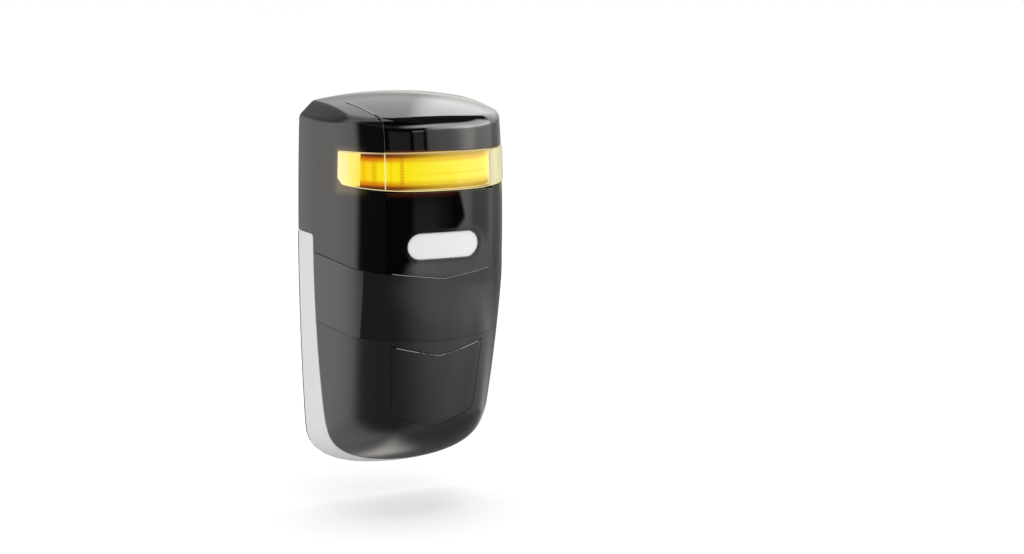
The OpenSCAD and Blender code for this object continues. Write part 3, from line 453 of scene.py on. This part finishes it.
def lens_material():
    """Clear plastic that turns milky where it is seen at a slant."""
    material, n = new_material("clear_plastic")
    outside = 1.0 - Value(n, n.add("ShaderNodeNewGeometry").outputs["Backfacing"])
    place = n.place()
    gloss = n.step(n.noise(place, 60.0), 0.3, 0.7, 0.02, 0.05)
    shine = n.add("ShaderNodeBsdfGlossy", {"Color": grey(1.0), "Roughness": gloss}).outputs[0]
    tint = n.mix(n.noise(place, 40.0), (1.0, 0.985, 0.93, 1), (1.0, 0.995, 0.96, 1))
    clear = n.out("ShaderNodeBsdfTransparent", tint)
    cream = n.out("ShaderNodeEmission", (0.94, 0.86, 0.52, 1), 1.0)
    slant = n.add("ShaderNodeLayerWeight", {"Blend": 0.5}).outputs["Facing"]
    milky = n.step(slant, 0.33, 0.47, 0.0, 0.88) * outside
    inner = n.out("ShaderNodeMixShader", milky, clear, cream)
    facing = outside * n.add("ShaderNodeFresnel", {"IOR": 1.5}).outputs[0]
    n.add("ShaderNodeOutputMaterial", {0: n.out("ShaderNodeMixShader", facing, inner, shine)})
    return material


def lit_material(name, paint, rough=0.3):
    """A piece of the lamp that shines in the colour that paint gives."""
    material, n = new_material(name)
    inputs = {"Base Color": (0.02, 0.01, 0.0, 1), "Roughness": rough,
              "Emission Color": paint(n, n.place()), "Emission Strength": 1.0}
    surface = n.add("ShaderNodeBsdfPrincipled", inputs)
    n.add("ShaderNodeOutputMaterial", {0: surface.outputs[0]})
    return material


def amber_paint(n, place):
    x, _, z = n.in_mm(place)
    tone = n.tones(x, (0.95, 0.6, 0.003, 1), (-25.0, -17.0, (0.98, 0.8, 0.008, 1)),
                   (-13.0, 2.0, (0.985, 0.88, 0.045, 1)), (2.0, 20.0, (0.98, 0.9, 0.1, 1)),
                   (17.0, 25.0, (0.95, 0.88, 0.42, 1)))
    # Fine lines that run along the guide
    stretch = {"Vector": place, "Scale": (12.0, 12.0, 1100.0)}
    lines = n.step(n.noise(n.add("ShaderNodeMapping", stretch).outputs[0], 1.0, 3.0), 0.52, 0.72)
    tone = n.mix(lines * n.step(x, -14.0, 0.0, 0.0, 0.55), tone, (1.0, 0.62, 0.0, 1))
    # Dotted dark columns where the diodes of the left end stand
    dots = n.step(n.math("SINE", z * 6.3), -0.5, 0.6, 0.55, 1.0)
    for centre, width, depth in ((-19.6, 0.9, 0.55), (-12.2, 0.9, 0.7), (-23.8, 0.8, 0.9),
                                 (-21.9, 0.4, 0.45), (-15.4, 0.4, 0.3)):
        column = n.step(abs(x - centre), width * 0.3, width, depth, 0.0) * dots
        tone = n.mix(column, tone, (0.75, 0.27, 0.0, 1))
    # Dark orange along the upper and lower edge, deepest on the left
    edge = abs(z - 41.8)
    deep = n.step(edge, 2.3, 4.1) * n.fade(x, -22.0, -4.0, 0.4)
    tone = n.mix(deep, tone, (0.68, 0.19, 0.004, 1))
    deepest = n.step(edge, 3.9, 5.0) * n.fade(x, -20.0, 6.0, 0.4)
    tone = n.mix(deepest, tone, (0.15, 0.025, 0.004, 1))
    gleam = n.step(abs(x + 16.9), 0.05, 0.25, 0.8, 0.0)
    return n.mix(gleam, tone, (1.0, 0.93, 0.6, 1))


def cream_paint(n, place):
    x, _, _ = n.in_mm(place)
    tone = n.tones(abs(x), (0.98, 0.88, 0.5, 1), (21.0, 23.0, (0.98, 0.81, 0.1, 1)),
                   (25.4, 26.8, (0.98, 0.88, 0.33, 1)), (26.8, 28.4, (0.98, 0.86, 0.43, 1)))
    cloud = n.step(n.noise(place, 180.0), 0.45, 0.7, 0.0, 0.15)
    return n.mix(cloud, tone, (0.99, 0.93, 0.55, 1))


def lens_rim_paint(n, place):
    x, _, z = n.in_mm(place)
    tone = n.tones(x, (0.85, 0.72, 0.42, 1), (-24.0, -8.0, (0.95, 0.8, 0.28, 1)))
    upper = n.step(z, 42.0, 46.0) * n.step(x, -25.0, -20.0, 0.3, 0.85)
    return n.mix(upper, tone, (0.36, 0.27, 0.14, 1))


finishes = {name: finish(name, **look) for name, look in FINISHES.items()}
finishes["clear_plastic"] = lens_material()
finishes["amber_plastic"] = lit_material("amber_plastic", amber_paint)
finishes["lit_cream"] = lit_material("lit_cream", cream_paint, 0.4)
finishes["lens_rim"] = lit_material("lens_rim", lens_rim_paint)


# The housing's form: a squared half ellipse at every height
def fall(run, radius):
    """How far an arc has fallen after a run."""
    return radius - math.sqrt(radius * radius - run * run) if run > 0 else 0.0


def end_share(z, inset, height, power):
    """What the rounded bottom leaves of a width or a depth."""
    run = (LOW + height - z) / (height - inset)
    return 1.0 if run <= 0 else max(0.0, 1 - min(1.0, run) ** power) ** (1 / power)


def half_width(z, inset=0.0):
    full = BODY_W / 2 - inset - SIDE_BOW * ((z - BOW_Z) / BOW_HALF) ** 2
    return full * end_share(z, inset, SIDE_ROUND_H, SIDE_ROUND_POWER)


def front_depth(z, inset=0.0):
    full = BODY_D - inset - fall(CURVE_BELOW - z, FRONT_CURVE_R)
    full -= fall(z - LEAN_ABOVE, FRONT_LEAN_R)
    return full * end_share(z, inset, FRONT_ROUND_H, FRONT_ROUND_POWER)


def squareness(z):
    return PLAN_POWER - PLAN_TAPER * max(0.0, TAPER_BELOW - z)


def wall_point(angle, z, inset=0.0, drawn_in=0.0):
    power = 2 / squareness(z)
    s, c = math.sin(angle), max(0.0, math.cos(angle))
    return (math.copysign(abs(s) ** power, s) * (half_width(z, inset) - drawn_in),
            -(c ** power) * (front_depth(z, inset) - drawn_in))


def front_y(x, z, inset=0.0):
    share = min(1.0, abs(x) / half_width(z, inset))
    power = squareness(z)
    return -front_depth(z, inset) * (1 - share ** power) ** (1 / power)


def reach(x, y, z, inset=0.0):
    """How far out a point lies: 1 on the wall, less inside it."""
    power = squareness(z)
    return (abs(x) / half_width(z, inset)) ** power + (abs(y) / front_depth(z, inset)) ** power


ROOF_EDGE_X = half_width(TOP) - CHAMFER_W
ROOF_EDGE_Z = TOP - ROOF_EDGE_X ** 2 / (2 * CROWN_R)


def roof_z(x, y, inset=0.0):
    slope = CHAMFER_H / CHAMFER_W
    crown = TOP - inset - x * x / (2 * CROWN_R)
    chamfer = ROOF_EDGE_Z - (abs(x) - ROOF_EDGE_X) * slope - inset * math.hypot(1, slope)
    soft = max(0.0, 1 - abs(crown - chamfer) / CHAMFER_BLEND)
    return min(crown, chamfer) - soft * soft * CHAMFER_BLEND / 4 - y * y / (2 * ROOF_FALL_R)


def edge_radius(angle, inset):
    return max(0.5, ROOF_SIDE_R + (ROOF_FRONT_R - ROOF_SIDE_R) * math.cos(angle) ** 2 - inset)


def edge_z(angle, inset):
    x, y = wall_point(angle, ROOF_EDGE_Z, inset)
    return roof_z(x, y, inset) - edge_radius(angle, inset)


def roof_point(angle, inset, turn, share=1.0):
    """A point of the roof's rounded edge, or with a share below 1 of the roof inside it."""
    z, r = edge_z(angle, inset), edge_radius(angle, inset)
    x, y = wall_point(angle, z, inset, r * (1 - math.cos(turn)))
    x, y = x * share, y * share
    return Vector((x, y, roof_z(x, y, inset) - r * (1 - math.sin(turn))))


def even_angles(count, z=30.0):
    """Angles round the front that lie an even way apart."""
    fine = [math.radians(-90 + 0.25 * i) for i in range(721)]
    points = [Vector(wall_point(a, z)) for a in fine]
    run = [0.0]
    for a, b in zip(points, points[1:]):
        run.append(run[-1] + (b - a).length)
    out, j = [], 0
    for i in range(count + 1):
        want = run[-1] * i / count
        while j < len(fine) - 2 and run[j + 1] < want:
            j += 1
        out.append(fine[j] + (fine[j + 1] - fine[j]) * (want - run[j]) / (run[j + 1] - run[j]))
    return out


def at_share(values, share):
    spot = min(max(share, 0.0), 1.0) * (len(values) - 1)
    i = min(int(spot), len(values) - 2)
    return values[i] + (values[i + 1] - values[i]) * (spot - i)


ANGLES = even_angles(180)


def solve(rising, want, low, high, turns=26):
    """Where a rising function reaches what is wanted."""
    for _ in range(turns):
        middle = (low + high) / 2
        if rising(middle) < want:
            low = middle
        else:
            high = middle
    return (low + high) / 2


def angle_at(x, x_of):
    """The angle at which a point round the form has the wanted x."""
    return solve(x_of, x, -math.pi / 2, math.pi / 2)


def share_at(angle):
    """How far round the front an angle lies, as a share of the way."""
    return solve(lambda share: at_share(ANGLES, share), angle, 0.0, 1.0, 24)


def seam_z(x, side_z, drop):
    """A seam is level far round, falls towards the front and drops to its shallow V."""
    x = abs(x)
    if x <= SEAM_FRONT_X:
        return side_z - SEAM_FALL - drop * (1 - x / SEAM_FRONT_X)
    run = (SEAM_SIDE_X - x) / (SEAM_SIDE_X - SEAM_FRONT_X)
    return side_z - SEAM_FALL * min(1.0, max(0.0, run))


def upper_seam(x):
    return seam_z(x, UPPER_SEAM_Z, UPPER_SEAM_DROP)


def lower_seam(x):
    return seam_z(x, LOWER_SEAM_Z, LOWER_SEAM_DROP)


# Sheets: a grid laid over the form, cut, given its thickness and its rounded rim
def sheet(columns, rows, place):
    """A grid whose points go where place(share across, share up) says, in millimetres."""
    bm = bmesh.new()
    bmesh.ops.create_grid(bm, x_segments=columns, y_segments=rows, size=1)
    for vert in bm.verts:
        vert.co = Vector(place((vert.co.x + 1) / 2, (vert.co.y + 1) / 2)) * MM
    bmesh.ops.remove_doubles(bm, verts=bm.verts, dist=0.02 * MM)
    return bm


def once(items):
    """Each item once, in an order that is the same in every run."""
    return list(dict.fromkeys(items))


def sides_of(outline):
    return list(zip(outline, outline[1:] + outline[:1]))


def inside(point, outline):
    x, y = point
    odd = False
    for (x0, y0), (x1, y1) in sides_of(outline):
        if (y0 > y) != (y1 > y) and x < (x1 - x0) * (y - y0) / (y1 - y0) + x0:
            odd = not odd
    return odd


VIEWS = {"front": (0, 2), "side": (1, 2), "plan": (0, 1)}


def cut_out(bm, view, outline, keep_inside=False):
    """Cuts an outline, drawn in one view, through a sheet and takes away one side of it."""
    i, j = VIEWS[view]

    def seen(face):
        centre = face.calc_center_median() / MM
        return Vector((centre[i], centre[j]))

    for (x0, y0), (x1, y1) in sides_of(outline):
        start, along = Vector((x0, y0)), Vector((x1 - x0, y1 - y0))
        length = along.length
        along.normalize()
        point, normal = Vector((0, 0, 0)), Vector((0, 0, 0))
        point[i], point[j] = x0 * MM, y0 * MM
        normal[i], normal[j] = -along.y, along.x
        faces = []
        for face in bm.faces:
            away = seen(face) - start
            if -2 < away.dot(along) < length + 2 and abs(away.cross(along)) < 2.5:
                faces.append(face)
        if faces:
            geom = faces + once(e for f in faces for e in f.edges)
            geom += once(v for f in faces for v in f.verts)
            bmesh.ops.bisect_plane(bm, geom=geom, dist=0.002 * MM, plane_co=point, plane_no=normal)
    gone = [face for face in bm.faces if inside(seen(face), outline) != keep_inside]
    bmesh.ops.delete(bm, geom=gone, context="FACES")


def rim_verts(bm):
    return once(v for e in bm.edges if e.is_boundary for v in e.verts)


def tidy_rim(bm, near=0.3):
    """Draws the points just inside a cut rim onto it, so that its faces have an even width."""
    rim = rim_verts(bm)
    on_rim = set(rim)
    target = {}
    for vert in rim:
        for edge in vert.link_edges:
            other = edge.other_vert(vert)
            if other not in on_rim and other not in target and edge.calc_length() < near * MM:
                target[other] = vert
    bmesh.ops.weld_verts(bm, targetmap=target)
    bmesh.ops.remove_doubles(bm, verts=rim_verts(bm), dist=0.08 * MM)
    bmesh.ops.dissolve_degenerate(bm, edges=bm.edges, dist=0.01 * MM)


def thicken(bm, thickness, rim, segments=2, highlight_at=None, highlight_rim=0.25):
    """Gives a sheet its wall, inwards, and rounds its outer rim.

    The rim's stretches picked by the function given get the piece's second finish: a paler grey
    that is a painted highlight line, or the lens rim's lamp glow."""
    bmesh.ops.recalc_face_normals(bm, faces=bm.faces)
    front = max(bm.faces, key=lambda f: abs(f.normal.y) * f.calc_area())
    if front.normal.y > 0:
        bmesh.ops.reverse_faces(bm, faces=bm.faces)

    def spot(vert):
        return tuple(round(c * 1e7) for c in vert.co)

    def round_off(edges, offset, clamp):
        return bmesh.ops.bevel(bm, geom=edges, offset=offset * MM, offset_type="OFFSET",
                               segments=segments, profile=0.5, affect="EDGES",
                               clamp_overlap=clamp, material=-1)["faces"]

    outer = {spot(v) for v in rim_verts(bm)}
    bmesh.ops.solidify(bm, geom=bm.faces[:], thickness=thickness * MM)
    plain, picked = [], []
    for edge in bm.edges:
        on_rim = all(spot(v) in outer for v in edge.verts)
        if on_rim and edge.calc_face_angle(0) > math.radians(40):
            middle = (edge.verts[0].co + edge.verts[1].co) / 2 / MM
            (picked if highlight_at and highlight_at(*middle) else plain).append(edge)
    if plain:
        round_off(plain, rim, True)
    if picked:
        for face in round_off([e for e in picked if e.is_valid], highlight_rim, False):
            face.material_index = 1
    bmesh.ops.recalc_face_normals(bm, faces=bm.faces)


def mirror(bm):
    bmesh.ops.scale(bm, vec=(-1, 1, 1), verts=bm.verts)


redrawn = set()


def make_piece(name, bm, look, body, *replaced, more=(), slot=None, smooth=SMOOTH_SKIN):
    """A piece in its finishes, riding on its body in place of the CAD's nodes."""
    for edge in bm.edges:
        one = len({face.material_index for face in edge.link_faces}) == 1
        flat = len(edge.link_faces) == 2 and edge.calc_face_angle(0) < math.radians(smooth)
        edge.smooth = one and flat
    for face in bm.faces:
        face.smooth = True
    piece = add_object(name, to_mesh(name, bm))
    for key in (look, *more):
        piece.data.materials.append(finishes[key])
    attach(piece, body)
    if replaced:
        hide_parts(*replaced)
        redrawn.update(replaced)


def solid(node):
    """The CAD's mesh of a node, with its faces joined."""
    bm = bmesh.new()
    bm.from_mesh(nodes[node].data)
    bmesh.ops.remove_doubles(bm, verts=bm.verts, dist=2e-6)
    return bm


def keep_inner(bm, node, depth=0.5):
    """Adds the node's own inner walls, bosses and ribs behind a new outer sheet."""
    def outer(vert):
        x, y, z = vert.co / MM
        if z > 50 and z > roof_z(x, y) - depth - 1:
            return True
        if half_width(z, depth) < 1 or front_depth(z, depth) < 1:
            return True
        return reach(x, y, z, depth) > 1
    inner = solid(node)
    gone = [face for face in inner.faces if any(outer(vert) for vert in face.verts)]
    bmesh.ops.delete(inner, geom=gone, context="FACES")
    mesh = to_mesh("inner", inner)
    bm.from_mesh(mesh)
    bpy.data.meshes.remove(mesh)


def upper_cover():
    # Shares of the sheet's height at the wall's upper end and at the roof's rounded edge
    wall_end, edge_end = 0.5, 0.58

    def place(u, v):
        angle = at_share(ANGLES, u)
        if v <= wall_end:
            z = upper_seam(wall_point(angle, 11)[0]) + SEAM_GAP / 2
            z += (edge_z(angle, SKIN) - z) * v / wall_end
            return (*wall_point(angle, z, SKIN), z)
        if v <= edge_end:
            return roof_point(angle, SKIN, math.pi / 2 * (v - wall_end) / (edge_end - wall_end))
        share = max(1e-4, 1 - (v - edge_end) / (1 - edge_end))
        return roof_point(angle, SKIN, math.pi / 2, share)
    bm = sheet(180, 110, place)
    band, top, r = -BAND_TOP_D - SEAM_GAP, BASE_TOP_Z + SEAM_GAP, BAND_CORNER_R
    turns = [math.radians(t) for t in (30, 60, 90)]
    corner = [(band + r - r * math.cos(t), top - r + r * math.sin(t)) for t in turns]
    cut_out(bm, "side", [(PAST_BACK, -5), (band, -5), (band, top - r), *corner, (PAST_BACK, top)])
    cut_out(bm, "side", [(-0.6, 0), (-0.6, PAST_TOP), (PAST_BACK, PAST_TOP), (PAST_BACK, 0)])
    cut_out(bm, "side", [(-LENS_END, LENS_TOP), (-LENS_END, LENS_LOW + LENS_RISE + LENS_CHAMFER),
                         (-LENS_END - LENS_CHAMFER, LENS_LOW + LENS_RISE),
                         (PAST_FRONT, LENS_LOW), (PAST_FRONT, LENS_TOP)])
    half, back = VISOR_W / 2, VISOR_BACK_W / 2
    cut_out(bm, "plan", [(-half, PAST_FRONT), (-half, -VISOR_TURN), (-back, -VISOR_BACK),
                         (back, -VISOR_BACK), (half, -VISOR_TURN), (half, PAST_FRONT)])
    tidy_rim(bm)
    thicken(bm, WALL, rim=0.12)
    keep_inner(bm, "upper_cover")
    make_piece("upper_cover_shell", bm, "dark_plastic", "front_cover", "upper_cover")


def visor_half(y):
    half, back = VISOR_W / 2 - FIT, VISOR_BACK_W / 2 - FIT
    run = min(1.0, max(0.0, (y + VISOR_TURN) / (VISOR_TURN - VISOR_BACK)))
    return half + (back - half) * run


def visor_cap():
    inset, back, columns = SKIN - PROUD, -VISOR_BACK - FIT, 60
    # Shares of the sheet's length at the roof's front end and at the end of its rounded edge
    roof_end, edge_end = 0.5, 0.7

    def edge_at(x, turn):
        return roof_point(angle_at(x, lambda a: roof_point(a, inset, turn).x), inset, turn)

    fronts = []
    for i in range(columns + 1):
        y = -42.0
        for _ in range(4):
            y = edge_at((2 * i / columns - 1) * visor_half(y), math.pi / 2).y
        fronts.append(y)

    def place(u, v):
        across, front = 2 * u - 1, fronts[round(u * columns)]
        if v <= roof_end:
            y = back + (front - back) * v / roof_end
            x = across * visor_half(y)
            return (x, y, roof_z(x, y, inset))
        x = across * visor_half(front)
        if v <= edge_end:
            return edge_at(x, math.pi / 2 * (1 - (v - roof_end) / (edge_end - roof_end)))
        start = edge_at(x, 0).z
        z = start + (LENS_TOP + FIT - start) * (v - edge_end) / (1 - edge_end)
        return (x, front_y(x, z, inset), z)
    bm = sheet(columns, 60, place)
    # The rim along the top, at the back and on the right, gets the paler finish: a painted
    # highlight line.
    thicken(bm, VISOR_T, rim=0.22, segments=3, highlight_rim=0.22,
            highlight_at=lambda x, y, z: z > 58 and (y > -36 or x > 0))
    make_piece("visor_cap_shell", bm, "gloss_black", "front_cover", "visor_cap", more=["cap_rim_painted_highlight"])


def badge_outline(grow, steps=16):
    half, r = (BADGE_W - BADGE_H) / 2, BADGE_H / 2 + grow
    turns = [math.pi * (k / steps - 0.5) for k in range(steps + 1)]
    right = [(half + r * math.cos(t), BADGE_Z + r * math.sin(t)) for t in turns]
    return right + [(-x, 2 * BADGE_Z - z) for x, z in right]


def visor_face():
    def place(u, v):
        x = (2 * u - 1) * (VISOR_W / 2 - FIT)
        low = upper_seam(x) + SEAM_GAP / 2
        z = low + (LENS_LOW - FIT - low) * v
        return (x, front_y(x, z, SKIN - PROUD), z)
    bm = sheet(60, 40, place)
    cut_out(bm, "front", badge_outline(BADGE_FRAME))
    tidy_rim(bm, near=0.2)
    # The lower rim in the middle gets the paler finish: a painted highlight line under the visor.
    thicken(bm, VISOR_T, rim=0.16, highlight_at=lambda x, y, z: z < 11.0 and abs(x) < 17)
    make_piece("visor_face_shell", bm, "gloss_black", "front_cover", "visor_face",
               more=["rim_painted_highlight"])


def angle_of_depth(depth, z, inset):
    """The angle round the form at which the wall is only this deep."""
    return math.acos(min(1.0, (depth / front_depth(z, inset)) ** (squareness(z) / 2)))


def lamp_lens():
    inset = SKIN - PROUD

    def low_line(y):
        chamfer_y = -LENS_END - LENS_CHAMFER
        if y > chamfer_y - FIT:
            return LENS_LOW + LENS_RISE + LENS_CHAMFER - (-LENS_END - FIT - y) + FIT
        return LENS_LOW + LENS_RISE * (1 - (chamfer_y - y) / (BODY_D - LENS_END)) + FIT

    def place(u, v):
        z = LENS_Z
        for _ in range(3):
            end = share_at(angle_of_depth(LENS_END + FIT, z, inset))
            angle = at_share(ANGLES, 0.5 + (u - 0.5) * 2 * (end - 0.5))
            low = low_line(wall_point(angle, z, inset)[1])
            z = low + (LENS_TOP - FIT - low) * v
        return (*wall_point(angle, z, inset), z)
    bm = sheet(130, 16, place)
    thicken(bm, LENS_WALL, rim=0.3, segments=3, highlight_rim=0.3, highlight_at=lambda x, y, z: True)
    # The frosted ends are the third finish, further forward on the inside
    for face in bm.faces:
        x, y, z = face.calc_center_median() / MM
        if face.material_index == 0 and y > (-30.6 if reach(x, y, z) > 0.985 else -34):
            face.material_index = 2
    make_piece("lamp_lens_shell", bm, "clear_plastic", "front_cover", "lamp_lens",
               more=["lens_rim", "lit_cream"])


def lens_ends():
    """The frosted backs of the lens ends."""
    inset = 1.75
    end = share_at(angle_of_depth(LENS_END + 0.4, LENS_Z, inset))

    def place(u, v):
        angle = at_share(ANGLES, end - (end - 0.5) * 0.13 * u)
        low = LENS_LOW + 2.6 - 1.6 * min(1.0, u * 2.5)
        z = low + (LENS_TOP - 0.5 - low) * v
        return (*wall_point(angle, z, inset), z)
    for side in ("left", "right"):
        bm = sheet(16, 10, place)
        if side == "left":
            mirror(bm)
        thicken(bm, 0.35, rim=0.06)
        make_piece("lens_end_" + side, bm, "lit_cream", "front_cover", slot="clear_plastic")


def ir_window():
    def place(u, v):
        x = (2 * u - 1) * (WINDOW_X - FIT)
        low, high = lower_seam(x) + 0.03, upper_seam(x) - SEAM_GAP / 2
        z = low + (high - low) * v
        return (x, front_y(x, z, 0.05), z)
    bm = sheet(60, 26, place)
    thicken(bm, 1.2, rim=0.05)
    make_piece("ir_window_pane", bm, "window_plastic", "front_cover", "ir_window")


def lid_edges(x, grow=0.0, pry=0.0):
    """The heights of the lid's lower and upper edge, both with a soft V in the middle."""
    soft = math.hypot(x, LID_TIP_R) - LID_TIP_R + LID_TIP_R * min(1.0, abs(x) / LID_TOP_HALF)
    left = 1 - min(1.0, soft / LID_TOP_HALF)
    return LID_LOW_Z - grow - LID_LOW_DROP * left, LID_TOP_Z + pry - LID_TOP_DROP * left


def lid_half(z):
    run = min(1.0, max(0.0, (LID_TOP_Z - z) / (LID_TOP_Z - LID_LOW_Z)))
    return LID_TOP_HALF - (LID_TOP_HALF - LID_LOW_HALF) * run


def lid_outline(grow, pry, steps=10):
    top, low = LID_TOP_HALF + grow, LID_LOW_HALF + grow
    corner_z = LID_LOW_Z - grow + LID_CORNER_R
    out = [(top * k / steps, lid_edges(top * k / steps, grow, pry)[1])
           for k in range(-steps, steps + 1)]
    out.append((low, corner_z))
    out += [(low * k / steps, lid_edges(low * k / steps, grow, pry)[0])
            for k in range(steps - 1, -steps, -1)]
    return out + [(-low, corner_z)]


def access_lid():
    def place(u, v):
        across = 2 * u - 1
        x = across * 15.4
        for _ in range(3):
            low, top = lid_edges(x)
            z = low + (top - low) * v
            x = across * lid_half(z)
        return (x, front_y(x, z, 0.0), z)
    bm = sheet(40, 34, place)
    cut_out(bm, "front", lid_outline(0, 0), keep_inside=True)
    tidy_rim(bm, near=0.2)
    # The lid's upper rim gets the paler finish: a painted highlight line along its top edge.
    thicken(bm, LID_T, rim=0.12, highlight_rim=0.2,
            highlight_at=lambda x, y, z: z > lid_edges(x)[1] - 0.3 and abs(x) < 15)
    keep_inner(bm, "access_lid", depth=1.9)
    make_piece("access_lid_shell", bm, "satin_dark", "lid", "access_lid", more=["rim_painted_highlight"],
               slot="dark_plastic")


def silver_edge(gap):
    """The silver band's front edge in the side view, from the upper seam to the low end."""
    top, low = -BAND_TOP_D - gap, -BAND_LOW_D - gap
    return [(PAST_BACK, 20), (top, 20), (top, UPPER_SEAM_Z), (low, LOW - 1), (PAST_BACK, LOW - 1)]


def side_bands():
    """The two bands between the seams, beside the window."""
    high_z, run = 15.0, 30.0
    ends = []
    for k in range(61):
        z = high_z - run * k / 60
        ends.append(share_at(angle_at(-WINDOW_X, lambda a: wall_point(a, z)[0])))

    def place(u, v):
        z = 3.0
        for _ in range(3):
            angle = at_share(ANGLES, at_share(ends, (high_z - z) / run) * u)
            x = wall_point(angle, z)[0]
            low, high = lower_seam(x) + 0.06, upper_seam(x) - SEAM_GAP / 2
            z = low + (high - low) * v
        return (*wall_point(angle, z), z)
    for side in ("left", "right"):
        bm = sheet(44, 24, place)
        if side == "right":
            mirror(bm)
        cut_out(bm, "side", silver_edge(0.3))
        tidy_rim(bm)
        thicken(bm, WALL, rim=0.08)
        # Their lighter finish is painted light: the band between the seams shown lighter than the
        # cover below it.
        make_piece("side_band_" + side, bm, "band_painted_lighter", "front_cover", slot="dark_plastic")


def lower_cover():
    # The sheet's lowest rows lie closer together, where the bottom is round
    close_rows, close_share, low = 0.6, 0.45, LOW + 0.05

    def place(u, v):
        angle = at_share(ANGLES, u)
        top = lower_seam(wall_point(angle, -10)[0]) - 0.03
        if v < close_rows:
            share = (1 - math.cos(math.pi / 2 * v / close_rows)) * close_share
        else:
            share = close_share + (1 - close_share) * (v - close_rows) / (1 - close_rows)
        z = low + (top - low) * share
        return (*wall_point(angle, z), z)
    bm = sheet(180, 120, place)
    cut_out(bm, "side", silver_edge(0.5))
    cut_out(bm, "front", lid_outline(0.14, 0.34))
    tidy_rim(bm)
    thicken(bm, WALL, rim=0.1)
    keep_inner(bm, "lower_cover")
    make_piece("lower_cover_shell", bm, "satin_dark", "front_cover", "lower_cover",
               slot="dark_plastic")


upper_cover()
visor_cap()
visor_face()
lamp_lens()
lens_ends()
ir_window()
access_lid()
side_bands()
lower_cover()

# All the other nodes keep the CAD's form, with their round faces shaded smooth
for node, slot in slot_of_node.items():
    if node not in redrawn:
        look = "lit_cream" if node == "lamp_carrier" else slot
        make_piece(node + "_part", solid(node), look, body_of_node[node], node, slot=slot,
                   smooth=SMOOTH_SOLID)
